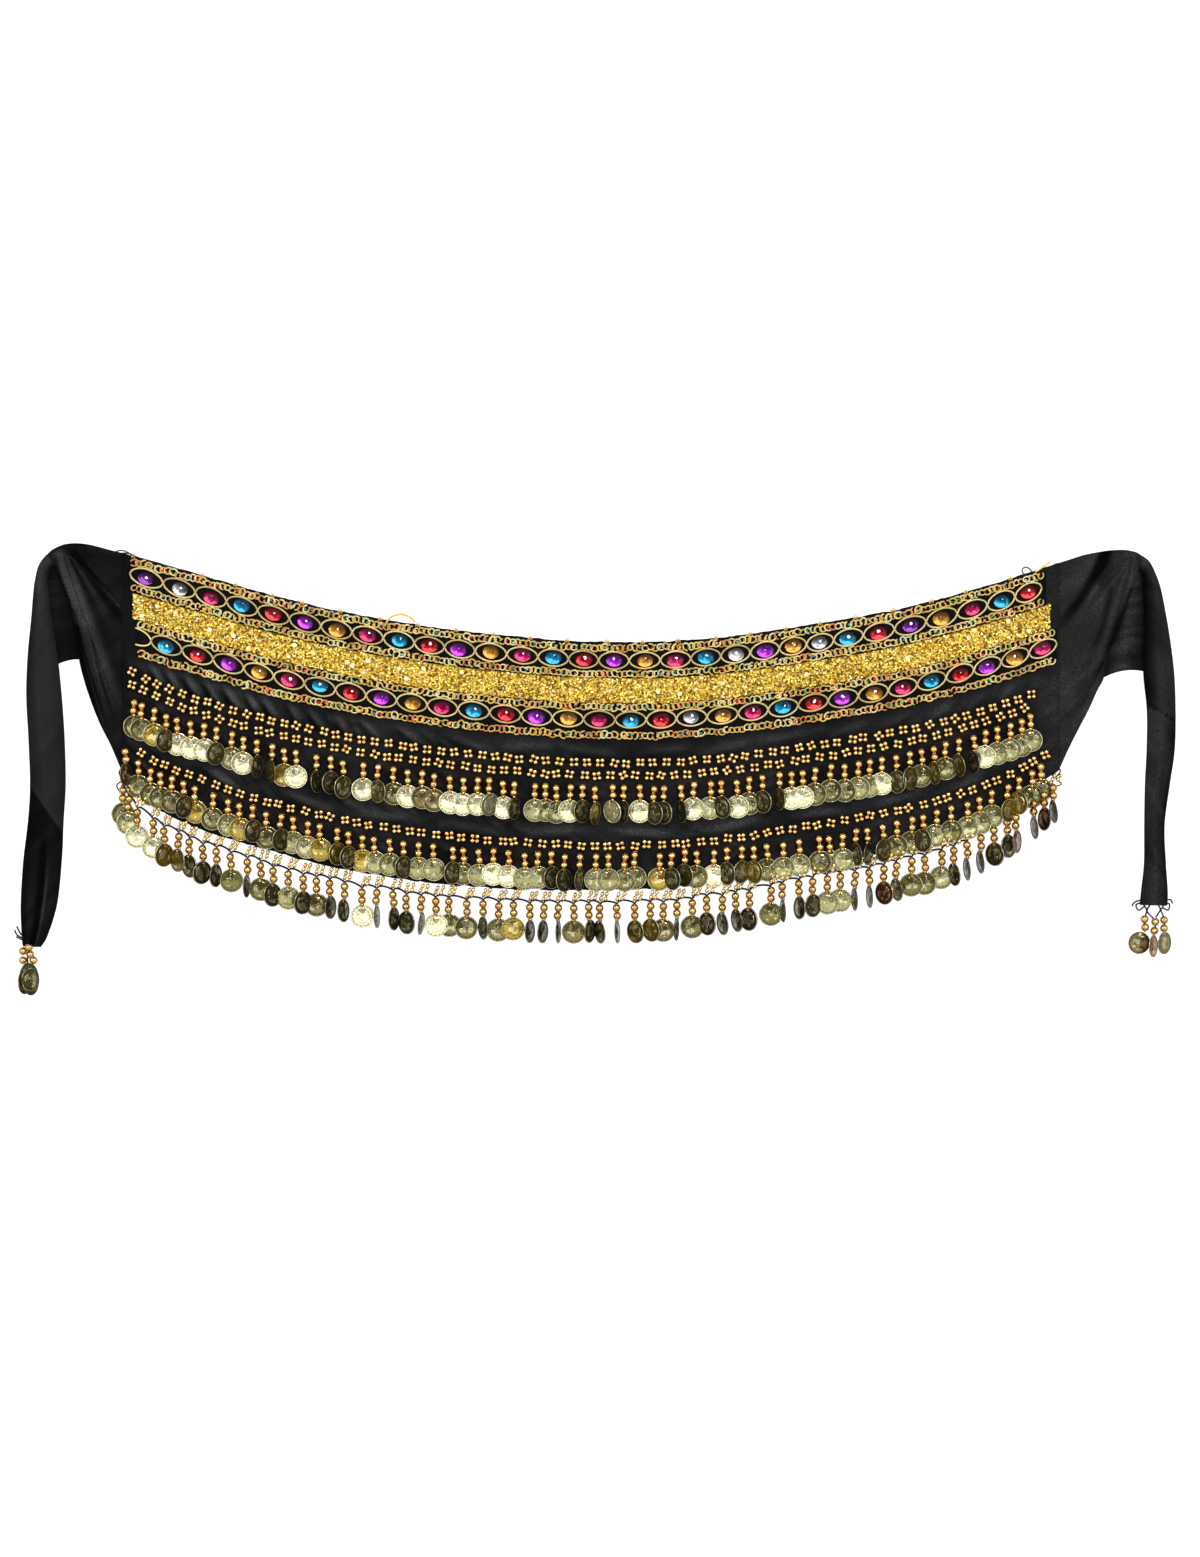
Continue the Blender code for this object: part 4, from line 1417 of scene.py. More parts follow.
@dataclass
class GemTrim:
    """A black ribbon with a chain of rings round oval stones, and a braid along each edge."""

    name: str
    ends: Span
    depths: Span
    braids: Span
    ring_depth: float
    places: str
    stones: str
    open_ring: bool
    seed: int
    ring_reach: float = 7.7
    open_reach: float = 14.0
    open_half: float = 7.4
    open_cord: float = 1.6
    ribbon_gauge: float = 0.8
    braid_pitch: float = 4.6
    seed_pitch: float = 6.3
    cord: float = 1.7
    roundness: float = 0.52
    jitter: float = 0.06

    def ribbon(self) -> None:
        """Builds the ribbon that carries the trim."""
        x, depth = np.meshgrid(np.linspace(*self.ends, 260), np.linspace(*self.depths, 9), indexing="ij")
        z = ON_CLOTH + self.ribbon_gauge + 0.12 * wander(self.seed, x + depth, 9.0)
        heap = Heap()
        heap.add_cloth(BELT.points(x, depth, z), z - ON_CLOTH)
        heap.hand_in(f"{self.name}_ribbon", Dress.RIBBON, self.name)

    def rings(self) -> None:
        """Builds two cords that cross between each stone and the next, and so close round it."""
        places = listed(self.places)
        middles = (places[1:] + places[:-1]) / 2
        edges = np.concatenate([[2 * places[0] - middles[0]], middles, [2 * places[-1] - middles[-1]]])
        cells = len(places)
        run = np.linspace(0.0, cells, cells * RING_STEPS + 1)
        k = np.minimum(run.astype(int), cells - 1)
        x = edges[k] + (edges[k + 1] - edges[k]) * (run - k)
        bow = np.sin(pi * (run - k)) ** self.roundness
        chance = seeded(self.seed)
        heap = Heap()
        for side in (1, -1):
            scale = 1 + self.jitter * chance.uniform(-1, 1, cells)[k]
            sign = side * np.where(k % 2 == 0, 1, -1)
            across = sign * bow * self.ring_reach * scale + self.jitter * wander(self.seed + side, run, 1.7)
            over = self.cord * 0.32 * side * np.cos(pi * run)
            path = BELT.points(x, self.ring_depth - across, RING_Z + over)
            colour = np.array(RING_GOLDS)[chance.integers(0, len(RING_GOLDS), cells)][k]
            heap.add(tube(path, self.cord / 2, CORD_SIDES), tints=np.repeat(colour, CORD_SIDES, axis=0))
        if self.open_ring:
            t = np.linspace(0.0, pi / 2, 10)
            for side in (1, -1):
                x = edges[0] - self.open_reach + self.open_reach * np.sin(t)
                path = BELT.points(x, self.ring_depth - side * self.open_half * np.cos(t), RING_Z)
                heap.add(tube(path, self.open_cord / 2, CORD_SIDES), tints=PALE_GOLD)
        heap.hand_in(f"{self.name}_rings", Dress.CORD, self.name)

    def gems(self) -> None:
        """Builds the stones."""
        chance = seeded(self.seed + 1)
        count = len(self.stones)
        x = listed(self.places) + chance.uniform(-0.6, 0.6, count)
        depth = self.ring_depth + chance.uniform(-0.9, 0.9, count)
        spots = BELT.points(x, depth, ON_CLOTH + 0.85)
        turn = BELT.slope(x, depth) + chance.uniform(-7, 7, count)
        tints = np.array([tint for tint, in picked(Stone, self.stones)])
        heap = Heap()
        lean = placed(
            spots, turn, chance.uniform(-5, 5, count), chance.uniform(-6, 6, count), chance.uniform(0.94, 1.04, count),
        )
        heap.add(StoneCut().shape(), lean, tints)
        heap.hand_in(f"{self.name}_stones", Dress.STONES, self.name, smooth=False)

    def braid(self) -> None:
        """Builds the looped braids along both edges."""
        heap = Heap()
        chance = seeded(self.seed + 5)
        arcs = ((0.0, 360.0), (25.0, 330.0), (-150.0, 150.0), (60.0, 350.0))
        loops = [braid_loop(*arc) for arc in arcs]
        for depth in self.braids:
            x = BELT.spread(self.ends, depth, self.braid_pitch)[1:-1]
            picks = chance.integers(0, len(loops), len(x))
            for k, loop in enumerate(loops):
                mine = x[picks == k]
                count = len(mine)
                aside = depth + chance.uniform(-0.9, 0.9, count)
                spots = BELT.points(mine, aside, BRAID_Z + chance.uniform(0, 0.5, count))
                turn = BELT.slope(mine, depth) + chance.normal(0, 34, count)
                tilts, size = chance.uniform(-9, 9, (2, count)), chance.uniform(0.85, 1.12, count)
                golds = np.array(BRAID_GOLDS)[chance.choice(4, count, p=(0.34, 0.36, 0.18, 0.12))]
                heap.add(loop, placed(spots, turn, *tilts, size), golds)
        heap.hand_in(f"{self.name}_braid", Dress.CORD, self.name)

    def seeds(self) -> None:
        """Builds the tiny coloured beads inside the braids' loops."""
        heap = Heap()
        chance = seeded(self.seed + 2)
        for depth in self.braids:
            x = BELT.spread(self.ends, depth, self.seed_pitch)[1:-1]
            spots = BELT.points(x, depth + chance.uniform(-0.8, 0.8, len(x)), BRAID_Z)
            picks = chance.choice(len(SEED_COLOURS), len(x), p=(0.3, 0.22, 0.16, 0.1, 0.12, 0.1))
            heap.add(bead(1.4, 7, 4), placed(spots, BELT.slope(x, depth)), np.array(SEED_COLOURS)[picks])
        heap.hand_in(f"{self.name}_seeds", Dress.SEEDS, self.name)

    def build(self) -> None:
        """Builds the whole trim."""
        for make in (self.ribbon, self.rings, self.gems, self.braid, self.seeds):
            make()


@dataclass
class SequinBand:
    """A backing strip covered with small sequins that lie every way, and a few large ones; the pale ones are painted
    glints.
    """

    ends: Span = (-418.0, 406.5)
    depths: Span = (32.4, 54.6)
    strip: float = 0.7
    count: int = 13500
    radius: float = 0.98
    large: int = 26
    large_radius: float = 2.2
    seed: int = 31

    def sequin(self, radius: float) -> Shape:
        """One sequin, cupped a little, its face up.

        Args:
            radius: Its radius.

        Returns:
            The sequin.
        """
        angles = 2 * pi * np.arange(6) / 6
        rim = [(radius * cos(a), radius * sin(a), 0.25 * radius) for a in angles]
        return shape_of([*rim, (0.0, 0.0, 0.0)], [(k, (k + 1) % 6, 6) for k in range(6)])

    def build(self) -> None:
        """Builds the strip and its sequins."""
        x, depth = np.meshgrid(np.linspace(*self.ends, 260), np.linspace(*self.depths, 7), indexing="ij")
        strip = Heap()
        strip.add_cloth(BELT.points(x, depth, ON_CLOTH + self.strip), self.strip)
        strip.hand_in("sequin_band_strip", Dress.BACKING, "sequin_band")
        chance = seeded(self.seed)
        heap = Heap()
        x = chance.uniform(self.ends[0], self.ends[1], self.count)
        depth = chance.uniform(self.depths[0] + 0.6, self.depths[1] - 0.6, self.count)
        spots = BELT.points(x, depth, ON_CLOTH + 1.0 + chance.uniform(0, 0.8, self.count))
        tilts = chance.normal(0, 14, (2, self.count))
        golds = np.array(SEQUIN_GOLDS_AND_GLINTS)[chance.choice(5, self.count, p=(0.34, 0.25, 0.19, 0.17, 0.05))]
        heap.add(self.sequin(self.radius), placed(spots, chance.uniform(0, 60, self.count), *tilts), golds)
        middle = (self.ends[0] + self.ends[1]) / 2
        lean = chance.uniform(-1, 1, self.large)
        x = middle + np.sign(lean) * np.abs(lean) ** 0.45 * 405.0
        depth = chance.uniform(self.depths[0] + 3, self.depths[1] - 3, self.large)
        spots = BELT.points(x, depth, ON_CLOTH + 2.0)
        tilts = chance.normal(0, 7, (2, self.large))
        lean = placed(spots, chance.uniform(0, 60, self.large), *tilts)
        # The large sequins are painted pale, as glints.
        heap.add(self.sequin(self.large_radius), lean, SEQUIN_GOLDS_AND_GLINTS[-1])
        heap.hand_in("sequin_band_sequins", Dress.SEQUINS, "sequin_band", smooth=False)


# ---- Beads and coins ----


@dataclass
class BeadRow:
    """A row of small beads, sewn on in clusters of two by two, which strays as its lifts say."""

    name: str
    ends: Span
    depth: float
    seed: int
    lifts: Curve
    pitch: float = 11.9
    reach: float = 2.1
    radius: float = 2.25

    def build(self) -> None:
        """Builds the row."""
        chance = seeded(self.seed)
        x = BELT.spread((self.ends[0] + 4.5, self.ends[1] - 4.5), self.depth, self.pitch)
        x[1:-1] += chance.uniform(-1.4, 1.4, len(x) - 2)
        depth = self.depth + chance.uniform(-0.7, 0.7, len(x))
        turn = np.radians(BELT.slope(x, self.depth) + chance.normal(0, 12, len(x)))
        middle = BELT.points(x, depth, CLOTH + self.radius + 0.15)
        middle[:, 1] += np.interp(x, *self.lifts)
        heap = Heap()
        for across in (-1, 1):
            for up in (-1, 1):
                reach = self.reach * (1 + chance.uniform(-0.08, 0.12, len(x)))
                spots = middle.copy()
                spots[:, 0] += across * reach * np.cos(turn) - up * reach * np.sin(turn)
                spots[:, 1] += across * reach * np.sin(turn) + up * reach * np.cos(turn)
                spots[:, 2] += chance.uniform(0, 0.4, len(x))
                tints = between(chance, len(x), (0.8, 0.63, 0.25), (0.72, 0.48, 0.17))
                lean = placed(spots, np.degrees(turn), chance.uniform(-20, 20, len(x)))
                heap.add(bead(self.radius, 12, 6, 0.35), lean, tints)
        heap.hand_in(f"{self.name}_clusters", Dress.SMALL_BEADS, self.name)


@dataclass(frozen=True)
class CoinDie:
    """The stamp that coins come from: a raised rim, a ring of dots and a rosette of petals."""

    radius: float = 10.6
    petals: int = 8
    segments: int = 32
    dome: float = 0.8
    dot_height: float = 0.72
    petal_rise: float = 0.12

    def shape(self) -> Shape:
        """The coin, upright in its own frame: its hole towards +Y and its stamped face to +Z.

        Returns:
            The shape.
        """
        upper = (
            (0.22, 0.54), (0.42, 0.4), (0.62, 0.4), (0.76, 0.34), (0.82, 0.34), (0.89, 0.35), (0.94, 0.75), (1.0, 0.5),
        )
        lower = ((1.0, 0.0), (0.89, 0.0), (0.82, 0.0), (0.76, 0.0))
        count = self.segments
        points: list[tuple[float, float, float]] = [(0.0, 0.0, upper[0][1] + self.dome)]
        for ring, (share, height) in enumerate(upper + lower):
            bulge = self.dome * (1 - share**2)
            for k in range(count):
                angle = 2 * pi * (k + 0.5) / count
                petal = self.petal_rise * max(cos(self.petals * angle), 0.0) if ring in (1, 2) else 0.0
                z = (self.dot_height if ring == 4 and k % 2 == 0 else height + petal) + bulge
                points.append((self.radius * share * cos(angle), self.radius * share * sin(angle), z))
        points.append((0.0, 0.0, self.dome))
        rings, hole = len(upper) + len(lower), count // 4 - 1
        faces: Faces = []
        open_rings = {3, 4, 9, 10}
        for k in range(count):
            j = (k + 1) % count
            faces.append((0, 1 + k, 1 + j))
            for ring in range(rings - 1):
                if k == hole and ring in open_rings:
                    continue
                near, far = 1 + ring * count, 1 + (ring + 1) * count
                faces.append((near + k, far + k, far + j, near + j))
            foot = 1 + (rings - 1) * count
            faces.append((foot + j, foot + k, len(points) - 1))
        a, b = hole, (hole + 1) % count
        top_loop = [(3, a), (4, a), (5, a), (5, b), (4, b), (3, b)]
        low_loop = [(11, a), (10, a), (9, a), (9, b), (10, b), (11, b)]
        for i in range(6):
            j = (i + 1) % 6
            corners = (top_loop[i], top_loop[j], low_loop[j], low_loop[i])
            faces.append(tuple(1 + ring * count + k for ring, k in corners))
        return shape_of(points, faces)


def link_shape() -> Shape:
    """The little wire loop that joins a coin to its beads.

    Returns:
        The loop.
    """
    angles = 2 * pi * np.arange(12) / 12
    path = np.stack([np.zeros(12), 2.3 * np.cos(angles), 1.5 * np.sin(angles)], axis=1)
    return tube(path, 0.38, 5, closed=True)


@dataclass
class CoinFringe:
    """A row of dangles: two large beads, a wire loop and a stamped coin each."""

    name: str
    depth: float
    places: str
    turns: str
    lustres: str
    rests: float
    seed: int
    drop: float = 7.1
    reach: float = 21.4
    highest: float = 10.6
    bead_radius: float = 3.75
    spacer_radius: float = 2.1
    spacers: Span = (0.5, 1.57)
    link_drop: float = 5.6
    # Scales the large beads' colour; the hem's beads are darker than those on the cloth.
    bead_brightness: float = 0.74
    turn_dimming: float = 0.5
    lifts: Curve = ((0.0,), (0.0,))

    def tops(self) -> Array:
        """Where each dangle's upper bead sits.

        Returns:
            A point for each.
        """
        chance = seeded(self.seed)
        x = listed(self.places)
        depth = self.depth + chance.uniform(-1.3, 1.3, len(x))
        spots = BELT.points(x, depth, self.rests + self.bead_radius + 0.1)
        spots[:, 1] += np.interp(x, *self.lifts)
        return spots

    def beads(self) -> None:
        """Builds the large beads and wire loops."""
        chance = seeded(self.seed + 1)
        tops = self.tops()
        count = len(tops)
        heap = Heap()
        shape = bead(self.bead_radius, 14, 8, 0.5)
        for step in range(2):
            spots = tops + np.stack(
                [chance.uniform(-0.6, 0.6, count), np.full(count, -self.drop * step), chance.uniform(0, 0.3, count)],
                axis=1,
            )
            tints = self.bead_brightness * between(chance, count, (1.0, 0.71, 0.25), (0.96, 0.58, 0.18))
            heap.add(shape, placed(spots, chance.uniform(-8, 8, count), tip=chance.uniform(-8, 8, count)), tints)
        for step in self.spacers:
            spots = tops - np.array((0.0, self.drop * step, 0.6))
            lean = placed(spots, size=chance.uniform(0.9, 1.05, count))
            heap.add(bead(self.spacer_radius, 10, 6), lean, self.bead_brightness * np.array((1.0, 0.7, 0.2)))
        spots = tops - np.array((0.0, self.drop + self.link_drop, 1.2))
        heap.add(
            link_shape(), placed(spots, chance.uniform(-15, 15, count), chance.uniform(-25, 25, count)), YELLOW_GOLD,
        )
        heap.hand_in(f"fringe_{self.name}_beads", Dress.LARGE_BEADS, f"coin_fringe_{self.name}")

    def coins(self) -> None:
        """Builds the coins."""
        chance = seeded(self.seed + 2)
        tops = self.tops()
        heap = Heap()
        dies = [CoinDie(petals=petals).shape() for petals in (8, 5, 6)]
        choices = zip(tops, picked(Turn, self.turns), picked(Lustre, self.lustres))
        for k, (top, (angle, squeeze, shadow), (tint, nod)) in enumerate(choices):
            inward = 1.0 if top[0] < 20.0 else -1.0
            swing = angle * inward * (1 if shadow == 1 or chance.random() < 0.75 else -1) + chance.uniform(-2, 2)
            nod += chance.uniform(-1.6, 1.6)
            tilt = abs(sin(radians(nod))) * cos(radians(swing))
            lift = CoinDie.radius * (squeeze * abs(sin(radians(swing))) + tilt)
            z = min(self.rests + 0.3 + lift + 0.5 * (k % 2), self.highest)
            spot = np.array([[top[0] + chance.uniform(-0.8, 0.8), top[1] - self.reach, z]])
            # Painted shade: a turned coin's colour is darkened, less on the cloth than on the hem.
            shade = np.array(tint) * chance.uniform(0.9, 1.1) * shadow**self.turn_dimming
            lean = placed(spot, chance.uniform(-5, 5), swing, nod)
            lean[:, :3, 0] *= squeeze
            heap.add(dies[chance.integers(0, 3)], lean, np.minimum(shade, 0.97))
        heap.hand_in(f"fringe_{self.name}_coins", Dress.COINS, f"coin_fringe_{self.name}")

    def build(self) -> None:
        """Builds the whole fringe."""
        self.beads()
        self.coins()


@dataclass
class HemNet:
    """The net that carries the hem fringe: slanted bugle beads and a scalloped black thread."""

    fringe: CoinFringe
    z: float = 2.4
    seed: int = 61
    above: float = 6.2
    columns: Span = (0.8, 5.4)
    tiers: Span = (2.4, 4.2)
    thread_radius: float = 0.88
    drop_radius: float = 0.6
    stitch_radius: float = 0.25

    def strokes(self) -> list[Array]:
        """Each bugle's two ends: two slanted columns of two beside each dangle.

        Returns:
            Pairs of points, four to a dangle.
        """
        chance = seeded(self.seed)
        found = []
        for x, y, _ in self.fringe.tops():
            hem = float(BELT.height(x, BELT.hem))
            foot = y + self.above
            step = float(np.clip((hem - 0.4 - foot) / 2, *self.tiers))
            for offset in self.columns:
                place, lean = x + offset + chance.uniform(-0.6, 0.6), 1.5 + chance.uniform(-0.5, 0.5)
                for tier in (0, 1):
                    low = foot + chance.uniform(-0.3, 0.5) + tier * step
                    start = (place + lean * (tier - 0.9), low, self.z + 0.3 * tier)
                    found.append(np.array([start, (place + lean * tier, low + step * 0.86, self.z + 0.3 + 0.3 * tier)]))
        return found

    def bugles(self) -> None:
        """Builds the bugle beads."""
        chance = seeded(self.seed + 2)
        heap = Heap()
        for path in self.strokes():
            steps = np.linspace(0.0, 1.0, 5)[:, None]
            body = path[0] * (1 - steps) + path[1] * steps
            tint = np.array((0.8, 0.6, 0.24)) * chance.uniform(0.8, 1.0)
            heap.add(tube(body, np.array((1.2, 1.8, 1.9, 1.8, 1.2)), 7), tints=tint)
        heap.hand_in("hem_net_bugles", Dress.SMALL_BEADS, "coin_fringe_hem")

    def thread(self) -> None:
        """Builds the thread that runs from dangle to dangle, and its stitches into the hem."""
        chance = seeded(self.seed + 1)
        tops = self.fringe.tops()
        tops = tops[np.argsort(tops[:, 0])]
        heap = Heap()
        knots = [(x, y + 3.9) for x, y, _ in tops]
        path: list[tuple[float, float, float]] = []
        for (x0, y0), (x1, y1) in zip(knots, knots[1:]):
            high = chance.uniform(2.6, 4.2) * min(1.0, (x1 - x0) / 10.0)
            for t in np.linspace(0, 1, 9)[:-1]:
                bow = high * 1.75 * t**0.5 * (1 - t) ** 0.8
                path.append((x0 + (x1 - x0) * t, y0 + (y1 - y0) * t + bow, self.z + 0.4 * sin(pi * t)))
        path.append((*knots[-1], self.z))
        heap.add(tube(np.array(path), self.thread_radius, 6))
        for x, y in knots:
            heap.add(tube(np.array([(x, y - 4.5, self.z), (x, y + 0.3, self.z + 0.2)]), self.drop_radius, 5))
        for start, end in self.strokes():
            reach = (end - start) * 0.35
            heap.add(tube(np.array([start - reach, end + reach]), self.stitch_radius, 4))
        heap.hand_in("hem_net_thread", Dress.THREAD, "coin_fringe_hem")

    def build(self) -> None:
        """Builds the net."""
        self.bugles()
        self.thread()


# ---- Loose threads and tassels ----


# A loose arc of ring cord, and a gold thread's end.
GOLD_ENDS = """
-192 128.5 2.6  -189 134 2.8  -184 138.2 2.8  -176.5 139.6 2.6  -169 137 2.4  -164.5 132.5 2.4
393 177.4 2.2  398 180.6 2.4  403 184.2 2  407 187.2 1.2
"""
CORNER_THREADS = """
-436 194.6 1.9  -431 197 1.2  -425 196.4 1.2  -419 192.8 1.9
-434 192.6 2  -428 194.6 1.4  -421 194.2 1.4  -415 190.6 1.9
383 175.2 1.9  381.5 179.6 1.4  384.5 182.2 1.2  388.5 180.4 1.4  391 176.4 1.9
-426 4 1.9  -431 -3 1.4  -427 -9 1.2  -433 -14 0.8  -430 -21 0.8
-422 -2 1.9  -424 -10 1.6  -429 -16 1  -425 -24 0.8
410 4 1.9  416 -1 1.6  412 -8 1.2  417 -13 0.9  409 -16 1.6
404 0 1.9  410 -8 1.6  405 -15 1.6  400 -12 2
"""
PICOTS = "-418 -356 -326 -293 -266 -232 -196 -162 -128 -94 -61 -28 8 40 72 106 137 169 200 232 265 300 331 371"


@dataclass
class WaistStitches:
    """Gold picots and loose threads along the waist edge and at the crescent's corners."""

    seed: int = 71
    ends: Span = (-424.0, 411.0)
    pitch: float = 6.4
    picot_radius: float = 0.5
    knot_radius: float = 1.25
    end_radii: Span = (0.95, 0.8)
    stitch_radius: float = 0.3
    stray_radius: float = 0.62

    def picots(self) -> None:
        """Builds the gold picots, a loose arc of ring cord and a gold thread's end."""
        chance = seeded(self.seed)
        heap = Heap()
        for x in listed(PICOTS):
            y, turn = float(BELT.height(x, 0.0)), radians(float(BELT.slope(x, 0.0)))
            size, lean = chance.uniform(1.7, 2.6), chance.uniform(-0.6, 0.6)
            angles = np.linspace(-0.4, pi + 0.4, 9)
            across, up = size * 0.75 * np.cos(angles), size * np.sin(angles) * 1.3 - 0.8
            path = np.stack(
                [
                    x + across * cos(turn) - (up + lean) * sin(turn), y + across * sin(turn) + up * cos(turn),
                    1.3 + 0.4 * np.sin(angles),
                ],
                axis=1,
            )
            heap.add(tube(path, self.picot_radius, 6), tints=YELLOW_GOLD)
            knot = np.array([[x, y - 0.3, 2.0]])
            heap.add(bead(self.knot_radius, 8, 5), placed(knot), COPPER_GOLD)
        for path, radius in zip(paths(GOLD_ENDS), self.end_radii):
            heap.add(tube(path, radius, 6), tints=YELLOW_GOLD)
        heap.hand_in("waist_picots", Dress.CORD)

    def strays(self) -> None:
        """Builds the overcast stitches on the waist edge and the black threads at the corners."""
        chance = seeded(self.seed + 1)
        heap = Heap()
        for x in BELT.spread(self.ends, 0.0, self.pitch):
            place = x + chance.uniform(-1.5, 1.5)
            start, end = BELT.points(
                [place, place + chance.uniform(0.8, 3.2)], [chance.uniform(1.6, 2.6), -0.35], [1.7, 1.1],
            )
            over = (start + end) / 2 + (0, 0, 0.7)
            heap.add(tube(smoothed(np.array([start, over, end]), 12), self.stitch_radius, 5))
        for path in paths(CORNER_THREADS):
            heap.add(tube(path, self.stray_radius, 5))
        heap.hand_in("edge_threads", Dress.THREAD)

    def build(self) -> None:
        """Builds the picots and the threads."""
        self.picots()
        self.strays()


@dataclass
class Tassel:
    """The beads, coins and threads at the end of a tie; a coin's row is its middle, turn and swing."""

    name: str
    beads: str
    coins: str
    lustres: str
    threads: str
    coin_radius: float = 10.1
    long_coins: float = 1.0
    bead_radius: float = 3.7
    thread_radius: float = 0.75

    def build(self) -> None:
        """Builds and dresses the tassel."""
        spots = numbers(self.beads)
        chance = seeded(len(spots))
        heap = Heap()
        tints = between(chance, len(spots), (0.6, 0.45, 0.17), (0.56, 0.37, 0.12))
        heap.add(bead(self.bead_radius, 18, 10, 0.5), placed(spots, chance.uniform(-15, 15, len(spots))), tints)
        heap.hand_in(f"{self.name}_beads", Dress.LARGE_BEADS, self.name)
        heap = Heap()
        die = CoinDie(radius=self.coin_radius).shape()
        stretch = Shape(die.points * (1.0, self.long_coins, 1.0), die.corners, die.sizes)
        coins = numbers(self.coins)
        lean = placed(coins[:, :3], coins[:, 3], coins[:, 4], 4.0)
        heap.add(stretch, lean, np.array([tint for tint, _ in picked(Lustre, self.lustres)]))
        heap.hand_in(f"{self.name}_coins", Dress.COINS, self.name)
        heap = Heap()
        for path in paths(self.threads):
            heap.add(tube(path, self.thread_radius, 5))
        heap.hand_in(f"{self.name}_threads", Dress.THREAD, self.name)


# ---- The studio ----


# Lamps behind diffusers: their places in metres, their two sides and their power in watts.
SOFTBOXES = """
0 -1.2 3.7 4.6 0.95 18
0.3 1.5 3.2 0.7 0.5 45
-1.9 0.3 1.7 0.8 1.2 16
1.9 0.3 1.7 0.8 1.2 11
"""


@dataclass
class Studio:
    """A pale floor, softboxes, a dim room and a camera that looks straight down."""

    view_x: float = 0.0018
    view_y: float = -0.0081
    view_height: float = 1.4013
    lens: float = 85.0
    film: float = 36.0
    dusk: Colour = (0.12, 0.12, 0.125)
    sky: Colour = (0.95, 0.95, 0.95)
    wall: Colour = (0.9, 0.9, 0.9)

    def light(self) -> None:
        """Sets the lamps and the room."""
        for k, (x, y, z, wide, high, watts) in enumerate(numbers(SOFTBOXES)):
            lamp = bpy.data.lights.new(f"softbox_{k + 1}", "AREA")
            lamp.shape, lamp.size, lamp.size_y, lamp.energy = "RECTANGLE", wide, high, watts
            stand = bpy.data.objects.new(lamp.name, lamp)
            stand.location = (x, y, z)
            stand.rotation_euler = Vector((-x, -y, -z)).to_track_quat("-Z", "Y").to_euler()
            bpy.context.scene.collection.objects.link(stand)
        world = bpy.data.worlds.new("dim_room")
        world.use_nodes = True
        bench = Bench(world.node_tree, world.node_tree.nodes["Background"])
        parts = bench.parts(bench.put("ShaderNodeTexCoord").outputs["Generated"])
        dome = bench.times(bench.ramp(parts[2], 0.2, 0.6), bench.ramp(parts[2], 0.988, 0.972))
        glow = bench.blend(dome, self.dusk, self.sky)
        seen = bench.put("ShaderNodeLightPath").outputs["Is Camera Ray"]
        bench.give("Color", bench.blend(seen, glow, self.wall))
        bpy.context.scene.world = world
        bpy.context.scene.view_settings.view_transform = "Standard"

    def floor(self) -> None:
        """Lays the floor."""
        reach, z = 4000.0, -0.05
        corners = [(-reach, -reach, z), (reach, -reach, z), (reach, reach, z), (-reach, reach, z)]
        heap = Heap()
        heap.add(shape_of(corners, [(0, 1, 2, 3)]))
        ground = heap.write("studio_floor", False)
        ground.data.materials.append(PaleFloor().make())

    def camera(self) -> None:
        """Puts the camera straight over the scarf."""
        data = bpy.data.cameras.new("overhead")
        data.lens, data.sensor_width = self.lens, self.film
        viewer = bpy.data.objects.new("overhead", data)
        viewer.location = (self.view_x, self.view_y, self.view_height * self.lens / self.film)
        bpy.context.scene.collection.objects.link(viewer)
        bpy.context.scene.camera = viewer

    def build(self) -> None:
        """Sets up the camera, the floor and the lamps."""
        self.camera()
        self.floor()
        self.light()


# ---- The scarf ----

# Sections of the gathered panels: a point on the waist edge, one on the free edge, and their lift.
LEFT_PANEL = """
-428.3 194.4 -428.3 -1.6 0
-439 197 -438.3 22 0.3
-450 200 -447.3 40 1
-460 202.2 -455 59 1.9
-470 203 -461.7 79 2
-479 202.2 -466.7 99.5 2.1
-484.3 200.4 -467.1 117 2.3
-488.8 198.2 -468.9 138 2.6
-492.3 195.8 -475.2 155 3
-494.6 193.1 -482.4 175.1 3.4
"""
# Folds, creases, and strokes of painted sheen and shadow: the gathered tip, the bend and the end of each,
# its height and half its width.
LEFT_FOLDS = """
-485 191 -471 138 -434 24 5 13
-478 190 -460 138 -432 60 3.6 9
-474 190 -448 150 -429 100 1.6 9
-468 130 -460 96 -441 40 3 5
"""
LEFT_CREASES = """
-474 192 -447 172 -412 120 -2.4 5
-470 140 -460 92 -437 22 -2.4 3.4
-462 132 -452 92 -430 34 1.4 2.6
-456 118 -444 80 -428 40 -1.4 2.6
-462 196 -446 192 -432 184 0.6 4
"""
LEFT_PAINTED_SHEEN_AND_SHADE = """
-484.2 192 -463.5 146 -430 50 0.62 12
-468 127 -465.3 82.5 -437 0 -0.5 6.5
-455.4 116.5 -449.1 85.9 -433 42 -0.35 2.8
-456.5 116 -451.5 90 -441 52 0.2 1.8
-470 194 -448.3 160.7 -419 123 -0.24 7.5
-445 162.4 -429.9 148.4 -415 124 0.35 1.3
-458 200 -446 198 -432 194 0.2 4
"""
RIGHT_PANEL = """
415.3 185.6 415.3 0.9 0
424.8 188.6 423.2 18.6 0.3
436.5 192.3 433.5 39.2 1
448.2 194.7 441.9 55.4 1.9
459 196.4 449.1 71.6 2
468 197 454.9 83 2.1
474.3 196.9 457 101 2.2
478.8 196.2 467 122 2.4
482.4 195.3 472.8 140 2.6
485.6 194 478.4 158 3
487.8 192.3 484 175 3.4
"""
